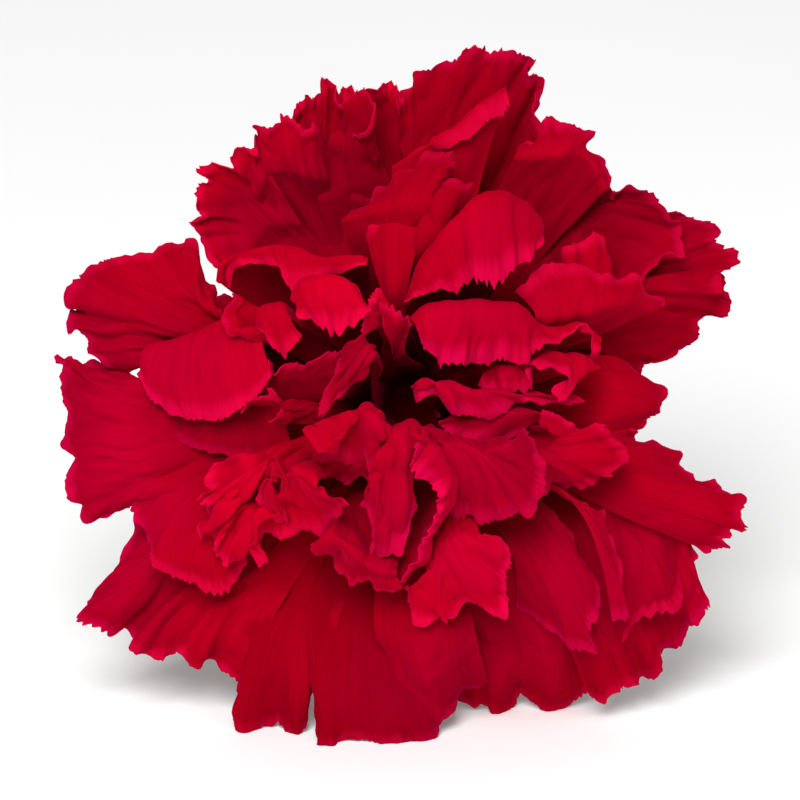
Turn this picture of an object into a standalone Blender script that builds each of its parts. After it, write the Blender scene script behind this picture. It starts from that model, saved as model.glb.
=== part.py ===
"""A cut double carnation, laid down: its bloom rests on the lowest petals and the stem on its cut end."""

import math

import bmesh
import bpy
import numpy as np
from mathutils import Matrix, Vector

MM = 0.001

# The flower's own frame, in mm, has its origin in the middle of the calyx mouth and +Z out of the bloom.
TILT = math.radians(18.6)
MOUTH_AT = Vector((0.91, -36.98, 35.7)) * MM

# The petals' points are read off the photograph. One pixel is PIXEL mm at the height VIEW_PLANE.
PIXEL = 76.0 / 695.0
AXIS_PIXEL = (410.0, 400.0)
VIEW_PIXEL = 400.0
VIEW_DISTANCE = 600.0
VIEW_PLANE = 5.0

# Above DOME_FROM the inner petals stand higher by this share.
DOME = 0.35
DOME_FROM = 4.0

BLADE_THICKNESS = 0.75
CLAW_HALF_WIDTH = 1.7
RISE_OUT = 0.25
RISE_UP = 0.95
LOWER_ROWS = (0.5,)
BACKING_LOWER_ROWS = (0.0, 0.5)
STRAIGHT_ENOUGH = 0.4
MOST_COLUMNS = 6
BACKING_POINTS = 4
BACKING_ROOT = 5.8
BACKING_BEND = 17.0
BACKING_LIFT = 2.0
BACKING_ROUND = 6.0
BACKING_WAVE = 0.8

CORE_SIDES = 16
CORE_PROFILE = (
    (0, -29.0),
    (3.9, -28.6),
    (5.4, -25.0),
    (6.1, -18.0),
    (6.4, -9.0),
    (6.6, -3.0),
    (6.6, 1.5),
    (10.0, 4.0),
    (16.0, 6.5),
    (15.0, 9.0),
    (9.0, 12.0),
    (4.5, 12.0),
    (0, 7.0),
)

CALYX_OUTER = ((3.4, -31.0), (5.6, -29.4), (6.9, -25.5), (7.4, -18.0), (7.8, -10.0), (8.1, -4.5))
CALYX_SIDES = 30
CALYX_GAP = 0.3
CALYX_WALL = 0.9
CALYX_FLOOR = 1.0
CALYX_FLARE = 0.15
CALYX_TEETH = 5
TOOTH_LENGTH = 4.1
TOOTH_ROOT = 0.8

BRACTS = 4
BRACT_LENGTH = 11.0
BRACT_HALF_ANGLE = 38.0
BRACT_THICKNESS = 0.8

STEM_SIDES = 16
STEM_RADIUS = 2.2
STEM_TOP_RADIUS = 2.6
STEM_LENGTH = 75.0
STEM_CUT_SLOPE = 0.6
NODE_AT = 46.0
NODE_RADIUS = 3.1

LEAF_LENGTH = 40.0
LEAF_WIDTH = 5.0
LEAF_THICKNESS = 0.8

RED = (0.62, 0.0, 0.03, 1.0)
GREEN = (0.16, 0.27, 0.10, 1.0)
GLAUCOUS = (0.22, 0.33, 0.22, 1.0)


def to_world(points):
    """Millimetres in the flower's frame to metres in the world's."""
    x, y, z = np.moveaxis(np.asarray(points, float), -1, 0)
    up, along = math.sin(TILT), math.cos(TILT)
    turned = np.stack([x, y * up - z * along, y * along + z * up], axis=-1)
    return turned * MM + np.array(MOUTH_AT)


def smooth(t):
    t = np.clip(t, 0.0, 1.0)
    return t * t * (3.0 - 2.0 * t)


def place(points):
    """Photograph pixels and heights in mm to the flower's frame, seen from VIEW_DISTANCE."""
    points = np.array(points, float)
    points[:, 2] += DOME * np.maximum(points[:, 2] - DOME_FROM, 0)
    near = PIXEL * (VIEW_DISTANCE - points[:, 2]) / (VIEW_DISTANCE - VIEW_PLANE)
    x = (points[:, 0] - VIEW_PIXEL) * near + (VIEW_PIXEL - AXIS_PIXEL[0]) * PIXEL
    y = (VIEW_PIXEL - points[:, 1]) * near + (AXIS_PIXEL[1] - VIEW_PIXEL) * PIXEL
    return np.stack([x, y, points[:, 2]], axis=1)


def chord(points):
    """Where each point lies along a curve through them all, from 0 to 1."""
    steps = np.linalg.norm(np.diff(points, axis=0), axis=1) ** 0.7
    return np.concatenate([[0], np.cumsum(steps)]) / steps.sum()


def hermite(t, start, leave, end, arrive):
    """A cubic from start to end, with the two slopes given, read at t from 0 to 1."""
    return (
        (2 * t**3 - 3 * t**2 + 1) * start
        + (t**3 - 2 * t**2 + t) * leave
        + (3 * t**2 - 2 * t**3) * end
        + (t**3 - t**2) * arrive
    )


def curve(points, t):
    """A smooth curve through the points, read at t from 0 to 1."""
    knots = chord(points)
    slope = np.gradient(points, knots, axis=0)
    k = np.clip(np.searchsorted(knots, t, side="right") - 1, 0, len(knots) - 2)
    span = (knots[k + 1] - knots[k])[:, None]
    s = (t - knots[k])[:, None] / span
    return hermite(s, points[k], slope[k] * span, points[k + 1], slope[k + 1] * span)


def petal_lines(spec, u):
    """The claw, crest and rim of one petal, read at u from 0 to 1 along its width."""
    rim, crest = curve(place(spec["rim"]), u), curve(place(spec["crest"]), u)
    turn = math.radians(spec["root"])
    outward = np.array([math.cos(turn), math.sin(turn), 0.0])
    side = np.array([-math.sin(turn), math.cos(turn), 0.0])
    if side @ (rim[-1] - rim[0]) < 0:
        side = -side
    claw = spec["deep"] * outward + side * spec["wide"] * (2 * u[:, None] - 1)
    return claw, crest, rim, outward


def petal(root, rim, crest, deep=5.0, wide=CLAW_HALF_WIDTH, dip=0.0, lower_rows=LOWER_ROWS):
    """One petal, with its rim and crest as (column, row, height).

    root and deep are its root's azimuth and radius, wide is half the claw's width, and dip is how far it sags
    halfway from the claw to the crest. lower_rows are the blade's rows, from 0 at the claw to 1 at the crest.
    """
    return {
        "root": root,
        "rim": rim,
        "crest": crest,
        "deep": deep,
        "wide": wide,
        "dip": dip,
        "lower_rows": lower_rows,
    }


def backing_petal(root, reach, half_angle, height):
    """A broad fan of the lowest layer, from its azimuth, its reach in mm and its spread in degrees."""
    rim, crest = [], []
    for k in range(BACKING_POINTS):
        share = 2 * k / (BACKING_POINTS - 1) - 1
        turn = math.radians(root + half_angle * share)
        across, up = math.cos(turn) / PIXEL, math.sin(turn) / PIXEL
        far = reach - BACKING_ROUND * abs(share) ** 2.5
        near = BACKING_BEND
        wave = BACKING_WAVE * (-1) ** k
        rim.append((AXIS_PIXEL[0] + far * across, AXIS_PIXEL[1] - far * up, height + wave))
        crest.append((AXIS_PIXEL[0] + near * across, AXIS_PIXEL[1] - near * up, height + BACKING_LIFT))
    return petal(root, rim, crest, deep=BACKING_ROOT, lower_rows=BACKING_LOWER_ROWS)


PETALS = [
    # The outer ring, from the left round the bottom, the right and the top
    petal(
        158,
        [
            (128, 366, 2), (104, 360, 2), (92, 350, 1), (88, 337, 2), (66, 329, 3), (76, 311, 0.5),
            (66, 295, 3), (80, 272, 4), (96, 266, 3), (110, 260, 4), (145, 257, 4), (175, 246, 3),
            (186, 241, 4), (195, 246, 4), (203, 270, 5), (218, 293, 6),
        ],
        [(165, 360, 4.5), (150, 335, 5), (165, 318, 6.5), (195, 300, 6.5), (222, 312, 7.5)],
    ),
    petal(
        188,
        [
            (112, 364, 0), (85, 361, -1), (56, 352, -1), (62, 366, 0), (54, 376, -1), (64, 407, 1),
            (58, 438, 0), (70, 460, 1), (71, 485, 0), (86, 517, -1), (130, 515, 1),
        ],
        [(170, 380, 5), (150, 400, 6), (150, 440, 7), (155, 470, 6), (170, 500, 5)],
    ),
    petal(
        215,
        [
            (133, 470, 4), (128, 500, 4), (142, 532, 4), (150, 558, 5), (178, 583, 5), (212, 592, 6),
            (228, 586, 6), (245, 560, 6),
        ],
        [(180, 450, 4.5), (190, 482, 6), (212, 508, 7.5), (242, 508, 8)],
    ),
    petal(
        225,
        [
            (133, 520, -2), (122, 562, -2), (103, 588, -2.5), (80, 615, -3), (100, 626, -1),
            (108, 635, -2), (124, 632, -3), (129, 650, -1), (145, 656, -2), (165, 654, -3),
            (182, 652, -1), (190, 666, -2), (210, 664, -3), (222, 668, -2), (238, 685, -2),
            (262, 640, 0),
        ],
        [(200, 490, 2), (190, 530, 3), (210, 560, 1), (240, 590, 3), (290, 590, 3)],
    ),
    petal(
        247,
        [
            (232, 640, -3), (240, 690, -3), (232, 722, -3), (240, 730, -3), (265, 722, -3.5),
            (284, 725, -3), (297, 737, -2), (304, 728, -2), (306, 712, -2), (317, 680, 0),
        ],
        [(240, 590, 3), (275, 610, 2), (310, 610, 3), (345, 605, 3)],
    ),
    petal(
        266,
        [
            (318, 690, -1), (318, 748, 0.7), (328, 748, 1.2), (345, 742, 0.2), (385, 743, 0.7),
            (416, 742, 0.2), (434, 737, -0.8), (442, 700, -1),
        ],
        [(310, 600, 4), (340, 620, 3), (380, 620, 4), (425, 610, 4)],
    ),
    petal(
        274,
        [
            (395, 700, 0), (405, 720, -0.5), (425, 735, -1), (442, 735, -1), (447, 722, -1.2),
            (458, 706, -2.5), (466, 698, -3), (485, 680, -2),
        ],
        [(375, 600, 6), (415, 610, 7), (470, 610, 6)],
    ),
    petal(
        292,
        [
            (455, 700, -7.5), (480, 707, -8), (493, 715, -8.2), (508, 707, -8.6), (520, 692, -8.6),
            (528, 704, -8.6), (552, 711, -8.2), (570, 706, -8.8), (588, 689, -8), (596, 660, -5),
        ],
        [(445, 600, 3), (490, 615, 2), (530, 605, 4), (585, 590, 3)],
    ),
    petal(
        318,
        [
            (587, 690, -3), (600, 699, -4), (625, 689, -3), (640, 677, -5), (661, 668, -4),
            (659, 656, -3), (672, 651, -4), (684, 638, -3), (692, 624, -2), (702, 621, -2),
            (709, 602, -1), (692, 578, 0),
        ],
        [(530, 570, 4), (575, 570, 5), (600, 540, 4), (625, 515, 5), (650, 480, 5)],
    ),
    petal(
        325,
        [(622, 640, 2), (640, 622, 3), (660, 612, 3), (680, 605, 2), (692, 578, 2), (700, 556, 2)],
        [(600, 520, 7), (620, 500, 7), (640, 480, 7)],
    ),
    petal(
        340,
        [
            (705, 553, 3), (730, 543, 3), (731, 530, 4), (746, 531, 3), (744, 512, 4), (748, 498, 3),
            (700, 477, 3), (682, 464, 4), (678, 452, 3), (645, 444, 4), (630, 428, 6),
        ],
        [(610, 510, 8), (620, 480, 9), (610, 450, 9), (590, 430, 9)],
    ),
    petal(
        2,
        [
            (634, 372, 4), (650, 388, 4), (658, 395, 4), (659, 408, 3), (648, 416, 4), (632, 427, 5),
            (610, 440, 6),
        ],
        [(590, 355, 8), (595, 400, 9), (590, 445, 8)],
    ),
    petal(
        15,
        [
            (636, 374, 1), (645, 364, 1), (668, 356, 0), (686, 347, 0), (699, 335, -1), (700, 323, 0),
            (716, 320, -1), (735, 306, 0), (724, 288, 2), (720, 270, 1),
        ],
        [(570, 350, 6), (590, 330, 6), (600, 310, 7), (600, 290, 7)],
    ),
    petal(
        28,
        [
            (716, 290, 3), (720, 268, 3.6), (738, 260, 3.4), (736, 248, 4), (722, 246, 3.6),
            (714, 238, 4.4), (718, 229, 3.8), (700, 222, 4.6), (690, 218, 4), (677, 211, 4.6),
            (667, 219, 4.2), (650, 221, 4.6),
        ],
        [(612, 316, 4.5), (625, 285, 4.5), (618, 255, 4), (590, 225, 3)],
        dip=2,
    ),
    petal(
        42,
        [
            (660, 242, 4), (652, 220, 4.4), (653, 206, 4.8), (644, 193, 4.6), (625, 193, 5),
            (604, 191, 5), (590, 202, 5),
        ],
        [(605, 285, 1.5), (582, 250, 1.5), (545, 225, 1)],
        dip=3,
    ),
    petal(
        58,
        [
            (614, 200, 5), (611, 180, 5.6), (605, 158, 5.8), (596, 146, 5.8), (594, 132, 6),
            (577, 127, 6), (563, 120, 6.3), (546, 117, 6.8), (541, 134, 7.4), (520, 150, 8),
        ],
        [(604, 190, 6), (585, 160, 7.5), (562, 156, 8.5), (539, 160, 9), (514, 158, 9)],
        dip=5,
    ),
    petal(
        79,
        [
            (536, 150, 8), (532, 120, 8), (534, 100, 8), (541, 80, 7), (529, 76, 8), (529, 58, 7),
            (512, 49, 8), (495, 54, 7), (476, 47, 8), (460, 57, 8), (446, 68, 7), (424, 72, 7),
            (413, 77, 7), (408, 90, 6), (407, 111, 6),
        ],
        [(522, 200, 3), (490, 175, 3), (450, 175, 3), (402, 190, 3)],
        dip=1,
    ),
    petal(
        95,
        [
            (407, 114, 5), (402, 98, 6), (390, 87, 6), (373, 84, 7), (360, 92, 6), (347, 87, 6),
            (338, 98, 5),
        ],
        [(415, 205, 1), (390, 200, 1), (360, 205, 1), (330, 205, 1)],
        dip=3,
    ),
    petal(
        105,
        [
            (352, 133, 8), (363, 126, 9), (368, 106, 9), (360, 98, 9), (346, 99, 8), (338, 106, 7),
            (333, 87, 6), (323, 82, 7), (324, 95, 5), (326, 106, 5),
        ],
        [(392, 195, 3), (355, 190, 2), (318, 200, 2)],
        dip=3,
    ),
    petal(
        125,
        [
            (310, 135, 7), (318, 123, 8), (301, 130, 7), (293, 119, 8), (280, 117, 8), (274, 126, 7),
            (251, 127, 7), (257, 135, 5), (255, 148, 5), (263, 156, 4),
        ],
        [(326, 178, 4), (297, 172, 5.5), (268, 176, 4.5), (256, 192, 3)],
        dip=6,
    ),
    petal(
        140,
        [
            (256, 150, 6), (238, 153, 5.5), (226, 163, 5.8), (213, 163, 5.4), (205, 172, 5.6),
            (212, 182, 5), (200, 184, 5.4), (198, 207, 5), (205, 216, 4.6), (190, 221, 4.6),
            (202, 238, 4), (211, 260, 4), (221, 266, 4),
        ],
        [(300, 222, 1), (275, 225, 1), (258, 232, 1.5), (252, 254, 2)],
        dip=4,
    ),
    # The second layer on the left
    petal(
        183,
        [
            (137, 375, 6), (146, 393, 7), (166, 411, 8), (188, 417, 9), (212, 418, 10), (229, 415, 11),
            (247, 404, 12), (270, 377, 13.5),
        ],
        [(150, 345, 5.5), (185, 335, 6.5), (225, 322, 8.5), (264, 338, 12)],
    ),
    petal(
        195,
        [
            (122, 396, 5), (148, 418, 5.5), (175, 436, 6), (190, 446, 6.5), (224, 453, 7.5),
            (260, 458, 8.5), (292, 452, 9.5),
        ],
        [(200, 385, 6.5), (225, 395, 7), (255, 402, 8), (290, 402, 9)],
    ),
    # The crumpled petals below the middle, from the left
    petal(
        222,
        [
            (196, 507, 9), (212, 520, 7), (200, 538, 9), (210, 543, 8), (216, 541, 10), (213, 558, 8),
            (223, 570, 9), (238, 560, 8), (252, 545, 9), (258, 522, 10),
        ],
        [(240, 480, 13), (245, 495, 12), (260, 505, 12), (275, 500, 13)],
    ),
    petal(
        213,
        [
            (205, 462, 10), (203, 480, 10), (196, 505, 11), (215, 508, 12), (240, 505, 12),
            (262, 490, 13),
        ],
        [(250, 452, 14), (265, 462, 15), (285, 465, 15)],
    ),
    petal(
        235,
        [
            (258, 568, 9), (262, 551, 10), (275, 543, 11), (300, 541, 12), (322, 535, 13),
            (336, 522, 14), (349, 507, 16),
        ],
        [(268, 505, 14), (278, 488, 16), (290, 468, 18), (318, 482, 18.5)],
    ),
    petal(
        235,
        [
            (309, 449, 18), (309, 461, 17), (329, 465, 17), (347, 470, 17), (370, 473, 18),
            (378, 458, 19), (388, 442, 20),
        ],
        [(316, 440, 20.5), (334, 421, 21.5), (361, 407, 22), (378, 415, 22), (391, 434, 21)],
        deep=3,
    ),
    petal(
        255,
        [
            (357, 507, 15), (363, 522, 14.5), (361, 540, 14), (370, 567, 13), (392, 552, 14),
            (410, 525, 15.5), (414, 498, 17),
        ],
        [(374, 462, 20), (384, 440, 21), (404, 427, 21.5), (428, 437, 21)],
        deep=4,
        wide=2.5,
    ),
    petal(
        275,
        [
            (416, 440, 21), (417, 470, 21), (436, 490, 20), (443, 511, 19), (436, 529, 18),
            (427, 551, 16), (411, 569, 14), (401, 582, 12.5),
        ],
        [
            (422, 422, 20), (440, 441, 20), (460, 479, 18.5), (461, 498, 17.5), (447, 529, 15.5),
            (428, 562, 13.5), (405, 584, 12),
        ],
        deep=4,
        wide=3,
    ),
    petal(
        258,
        [
            (309, 545, 10), (314, 557, 10), (325, 568, 10), (343, 584, 10), (360, 590, 10.5),
            (374, 597, 10.5), (390, 593, 11), (401, 582, 12),
        ],
        [(330, 528, 14), (350, 540, 14), (367, 560, 13.5), (396, 570, 13)],
        wide=3,
    ),
    petal(
        281,
        [
            (398, 592, 9), (410, 613, 8), (428, 626, 8), (446, 627, 8.5), (456, 613, 9), (482, 609, 10),
            (505, 609, 10), (509, 592, 11), (505, 574, 12), (508, 556, 13), (500, 538, 14),
            (487, 532, 14.5),
        ],
        [(422, 570, 12.5), (436, 548, 13.5), (455, 530, 14.5), (480, 533, 15)],
        wide=5,
    ),
    petal(
        312,
        [
            (446, 521, 13), (470, 522, 14), (496, 517, 15), (516, 518, 15.5), (530, 513, 16),
            (538, 492, 16), (541, 470, 17), (536, 440, 18), (528, 428, 19),
        ],
        [(440, 436, 19.5), (462, 441, 19), (486, 448, 19), (512, 440, 20)],
        deep=4,
        wide=3,
    ),
    petal(
        335,
        [
            (542, 495, 12), (565, 494, 12), (590, 490, 13), (602, 476, 13), (618, 463, 13),
            (623, 450, 13), (612, 436, 14), (598, 421, 15), (585, 428, 15), (562, 416, 16),
            (545, 410, 17),
        ],
        [(528, 456, 17), (543, 452, 15.5), (552, 443, 15.5), (540, 428, 17)],
    ),
    petal(
        310,
        [
            (516, 606, 4), (545, 626, 5), (580, 652, 6), (594, 651, 6), (590, 632, 6.5),
            (600, 610, 6.5), (595, 578, 7), (580, 556, 8), (568, 530, 8.5), (560, 520, 9.5),
        ],
        [(505, 540, 8), (520, 528, 8), (540, 515, 9), (552, 512, 10)],
        wide=3,
    ),
    # The small petals right of the middle
    petal(
        12,
        [
            (478, 386, 16), (500, 391, 16), (527, 391, 16), (521, 378, 17), (523, 367, 17),
            (545, 365, 17.5), (562, 372, 17.5), (568, 384, 17), (563, 398, 16), (546, 389, 16),
        ],
        [(484, 367, 16), (500, 361, 16.5), (530, 357, 16), (560, 357, 15.5), (600, 364, 14)],
        deep=4,
    ),
    petal(
        355,
        [
            (415, 399, 18), (424, 396, 19), (437, 398, 19), (455, 411, 18), (482, 414, 17),
            (518, 407, 16), (550, 403, 15), (585, 402, 13),
        ],
        [
            (411, 390, 19), (414, 382, 19.5), (430, 379, 20), (450, 384, 19), (475, 389, 18),
            (520, 391, 16), (565, 393, 14),
        ],
        deep=3,
    ),
    petal(
        345,
        [
            (441, 422, 17), (447, 432, 16), (462, 437, 16), (478, 441, 15.5), (496, 441, 15),
            (514, 434, 15), (530, 428, 15),
        ],
        [(452, 414, 15), (490, 409, 16), (525, 408, 16.5), (555, 414, 15)],
        deep=3.5,
    ),
    # The folded petals at the upper right
    petal(
        35,
        [
            (418, 328, 18), (424, 348, 18), (436, 361, 18), (450, 355, 19), (467, 362, 18),
            (490, 366, 18.5), (508, 361, 18), (526, 356, 18), (545, 345, 17), (560, 336, 17),
            (584, 326, 16), (597, 345, 14.5), (597, 363, 13.5),
        ],
        [
            (410, 318, 17), (445, 303, 18), (485, 301, 18), (520, 302, 17), (548, 324, 15.5),
            (578, 319, 15), (600, 335, 13),
        ],
        deep=4,
    ),
    petal(
        30,
        [
            (521, 293, 15), (530, 278, 15.5), (540, 267, 15), (566, 264, 14), (600, 275, 13),
            (618, 278, 12), (634, 275, 11), (647, 293, 9), (664, 306, 7),
        ],
        [(535, 318, 16), (548, 321, 16), (580, 316, 15), (616, 306, 13), (650, 310, 9)],
    ),
    petal(
        65,
        [
            (405, 304, 18), (420, 296, 18.5), (440, 289, 19), (460, 293, 18.5), (463, 282, 18.5),
            (478, 281, 20), (492, 281, 20), (508, 275, 19.5), (522, 264, 18.5), (531, 255, 17.5),
            (541, 238, 16),
        ],
        [
            (403, 300, 16), (414, 270, 17), (436, 236, 17.5), (460, 208, 18), (490, 192, 17),
            (512, 195, 16), (532, 210, 15), (543, 226, 14.5),
        ],
        deep=4.5,
    ),
    # The upright petals above the middle
    petal(
        95,
        [(367, 234, 12), (384, 216, 12.5), (408, 212, 13), (428, 210, 13)],
        [(384, 302, 14.5), (394, 298, 15.5), (406, 300, 15)],
        deep=4,
    ),
    petal(
        98,
        [
            (343, 219, 10.5), (378, 199, 11), (404, 178, 11.5), (425, 163, 12), (447, 155, 12.5),
            (456, 155, 13), (442, 166, 13.5), (431, 178, 14),
        ],
        [(342, 223, 12), (384, 213, 13.5), (406, 210, 14.5), (427, 208, 15), (429, 194, 15)],
    ),
    petal(
        80,
        [
            (429, 206, 12), (434, 190, 13.5), (445, 181, 12.5), (455, 185, 14), (465, 180, 13),
            (459, 200, 13),
        ],
        [(408, 262, 14), (420, 250, 15), (430, 242, 14), (440, 236, 14.5)],
        deep=4.5,
    ),
    petal(
        72,
        [
            (397, 171, 9), (428, 155, 10), (452, 145, 11), (484, 127, 11), (490, 117, 10.8),
            (501, 109, 10.5), (509, 98, 10),
        ],
        [(392, 167, 9.5), (420, 151, 10.5), (450, 128, 11), (480, 101, 10.5), (504, 86, 9.5)],
    ),
    # The curled petals at the upper left and round the pit
    petal(
        148,
        [
            (232, 290, 10), (234, 270, 11), (246, 264, 12), (262, 265, 12.5), (277, 268, 13.5),
            (283, 280, 14.5), (293, 295, 15.5), (304, 284, 15.5), (318, 277, 15.5), (340, 272, 15),
            (366, 264, 15.5),
        ],
        [
            (219, 283, 11), (222, 264, 11.5), (238, 254, 12), (256, 248, 12.5), (276, 245, 13),
            (301, 247, 14), (328, 257, 15), (348, 257, 15), (368, 258, 15),
        ],
        dip=6,
    ),
    petal(
        135,
        [
            (298, 313, 17), (303, 322, 17.5), (316, 328, 18), (332, 329, 19), (348, 326, 19.5),
            (360, 320, 19.5), (368, 308, 19.5),
        ],
        [(294, 302, 16), (304, 287, 17), (330, 276, 18), (355, 278, 18.5), (369, 297, 18.5)],
        deep=4,
    ),
    petal(
        160,
        [
            (256, 330, 13), (265, 338, 14), (274, 350, 14.5), (286, 353, 15), (294, 346, 15.5),
            (301, 337, 16),
        ],
        [(254, 322, 13), (256, 311, 13.5), (266, 305, 14), (284, 305, 14.5), (291, 317, 15)],
    ),
    petal(
        163,
        [
            (226, 290, 9), (221, 305, 10), (220, 322, 11), (226, 340, 11.5), (242, 342, 12),
            (258, 338, 13),
        ],
        [(246, 298, 12), (238, 315, 12.5), (245, 330, 13), (262, 328, 13)],
    ),
    petal(
        170,
        [
            (262, 345, 12), (264, 361, 12), (272, 357, 13), (276, 367, 13), (290, 363, 14),
            (310, 362, 14.5), (328, 357, 15), (345, 350, 16), (356, 338, 17),
        ],
        [(266, 392, 6), (295, 404, 7), (322, 402, 8), (350, 385, 10)],
        deep=4,
    ),
    petal(
        175,
        [
            (345, 358, 15.5), (330, 372, 15), (318, 390, 15), (320, 409, 15), (334, 402, 16),
            (350, 384, 16.5), (365, 362, 17),
        ],
        [(360, 338, 18), (371, 344, 18), (375, 358, 17.5)],
        deep=3,
    ),
    # A short petal in front of the ring on the right
    petal(
        30,
        [
            (640, 284, 6.2), (656, 263, 7), (679, 253, 7), (681, 235, 6.5), (671, 221, 6.5),
            (657, 206, 7),
        ],
        [(600, 292, 6), (608, 262, 4), (604, 232, 3), (596, 208, 3)],
        dip=2,
    ),
    # Broad petals of the lowest layer, mostly hidden
    backing_petal(8, 25, 36, 1),
    backing_petal(35, 32.5, 26, -1),
    backing_petal(62, 31.5, 32, 0),
    backing_petal(112, 32.5, 32, -2),
    backing_petal(170, 29.5, 20, 0),
    backing_petal(205, 31.5, 30, -2),
    backing_petal(248, 29, 28, -3),
    backing_petal(285, 28, 30, -3),
    backing_petal(322, 34, 25, -2),
]


def blade_middle(spec):
    """The middle surface of one petal, which climbs from its claw to the crest and bends over to the rim."""
    knots = chord(place(spec["rim"]))
    picks = np.linspace(0, len(knots) - 1, min(len(knots) - 1, MOST_COLUMNS) + 1).round().astype(int)
    claw, crest, rim, outward = petal_lines(spec, knots[picks])
    first = np.linalg.norm(crest - claw, axis=1)[:, None]
    second = np.linalg.norm(rim - crest, axis=1)[:, None]
    rise = first * (RISE_OUT * outward + np.array([0, 0, RISE_UP]))
    over = (rim - claw) / (first + second)
    away = 1.6 * (rim - crest) - 0.6 * over * second
    sag = np.array([0, 0, 4 * spec["dip"]])
    rows = [hermite(t, claw, rise, crest, over * first) - sag * t * (1 - t) for t in spec["lower_rows"]]
    rows.append(crest)
    bend = np.mean(np.sum((crest - claw) * (rim - crest), axis=1) / (first * second)[:, 0])
    if bend < STRAIGHT_ENOUGH:
        rows.append(hermite(0.5, crest, over * second, rim, away))
    rows.append(rim)
    return np.array(rows)


def material(name, colour, roughness):
    made = bpy.data.materials.new(name)
    made.use_nodes = True
    shader = made.node_tree.nodes["Principled BSDF"]
    shader.inputs["Base Color"].default_value = colour
    shader.inputs["Roughness"].default_value = roughness
    shader.inputs["Metallic"].default_value = 0.0
    return made


def new_object(name, points, faces, made):
    """An object from points in the flower's frame."""
    mesh = bpy.data.meshes.new(name)
    mesh.from_pydata(to_world(points).tolist(), [], faces)
    mesh.materials.append(made)
    obj = bpy.data.objects.new(name, mesh)
    bpy.context.scene.collection.objects.link(obj)
    return obj


def face_out(obj):
    work = bmesh.new()
    work.from_mesh(obj.data)
    bmesh.ops.recalc_face_normals(work, faces=work.faces)
    if work.calc_volume(signed=True) < 0:
        bmesh.ops.reverse_faces(work, faces=work.faces)
    work.to_mesh(obj.data)
    work.free()


def sheet_solid(name, middle, thickness, made):
    """A blade of even thickness round a grid of points, split alike on both faces."""
    along = np.gradient(middle, axis=0)
    across = np.gradient(middle, axis=1)
    normal = np.cross(across, along)
    normal /= np.linalg.norm(normal, axis=2, keepdims=True)
    rows, columns = middle.shape[:2]
    points = np.concatenate([middle + normal * thickness / 2, middle - normal * thickness / 2])
    half = rows * columns
    faces = []
    for i in range(rows - 1):
        for j in range(columns - 1):
            a, b = i * columns + j, i * columns + j + 1
            c, d = a + columns, b + columns
            faces += [(a, b, d), (a, d, c), (a + half, d + half, b + half), (a + half, c + half, d + half)]
    edge = [j for j in range(columns)]
    edge += [i * columns + columns - 1 for i in range(1, rows)]
    edge += [(rows - 1) * columns + j for j in range(columns - 2, -1, -1)]
    edge += [i * columns for i in range(rows - 2, 0, -1)]
    for a, b in zip(edge, edge[1:] + edge[:1]):
        faces += [(a, a + half, b + half), (a, b + half, b)]
    obj = new_object(name, points.reshape(-1, 3), faces, made)
    face_out(obj)
    return obj


def turned_solid(name, profile, sides, made):
    """A closed solid turned about the axis from (radius, height) pairs, the first and last on the axis."""
    points, rings = [], []
    for radius, height in profile:
        if radius == 0:
            rings.append([len(points)])
            points.append((0.0, 0.0, height))
            continue
        rings.append(list(range(len(points), len(points) + sides)))
        for k in range(sides):
            angle = 2 * math.pi * k / sides
            points.append((radius * math.cos(angle), radius * math.sin(angle), height))
    faces = []
    for lower, upper in zip(rings, rings[1:]):
        for k in range(sides):
            a, b = lower[k % len(lower)], lower[(k + 1) % len(lower)]
            c, d = upper[(k + 1) % len(upper)], upper[k % len(upper)]
            faces.append(tuple(dict.fromkeys((a, b, c, d))))
    obj = new_object(name, points, faces, made)
    face_out(obj)
    return obj


def combine(obj, others, operation, solver="EXACT"):
    """One Boolean of a collection of solids with obj, applied; the others are then removed."""
    group = bpy.data.collections.new(obj.name + "_parts")
    bpy.context.scene.collection.children.link(group)
    for other in others:
        bpy.context.scene.collection.objects.unlink(other)
        group.objects.link(other)
    modifier = obj.modifiers.new("combine", "BOOLEAN")
    modifier.operation = operation
    modifier.operand_type = "COLLECTION"
    modifier.collection = group
    modifier.solver = solver
    with bpy.context.temp_override(object=obj, active_object=obj):
        bpy.ops.object.modifier_apply(modifier=modifier.name)
    for other in others:
        bpy.data.objects.remove(other)
    bpy.data.collections.remove(group)


def keep_outer_body(obj):
    """Keeps the largest closed body, without loose scraps or sealed hollows."""
    work = bmesh.new()
    work.from_mesh(obj.data)
    bmesh.ops.triangulate(work, faces=work.faces)
    waiting = set(work.faces)
    bodies = []
    while waiting:
        body, edge = [], [waiting.pop()]
        while edge:
            face = edge.pop()
            body.append(face)
            for side in face.edges:
                for near in side.link_faces:
                    if near in waiting:
                        waiting.remove(near)
                        edge.append(near)
        bodies.append(body)

    def volume(body):
        total = 0.0
        for face in body:
            a, b, c = (vert.co for vert in face.verts)
            total += a.dot(b.cross(c)) / 6
        return total

    bodies.sort(key=volume)
    spare = [face for body in bodies[:-1] for face in body]
    bmesh.ops.delete(work, geom=spare, context="FACES")
    work.to_mesh(obj.data)
    work.free()
    return obj


def below_table():
    """A slab whose top is the surface that the flower lies on."""
    work = bmesh.new()
    spot = Matrix.Translation((0, 0, -0.05)) @ Matrix.Diagonal((0.4, 0.4, 0.1, 1))
    bmesh.ops.create_cube(work, size=1, matrix=spot)
    mesh = bpy.data.meshes.new("slab")
    work.to_mesh(mesh)
    work.free()
    slab = bpy.data.objects.new("slab", mesh)
    bpy.context.scene.collection.objects.link(slab)
    return slab


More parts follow.
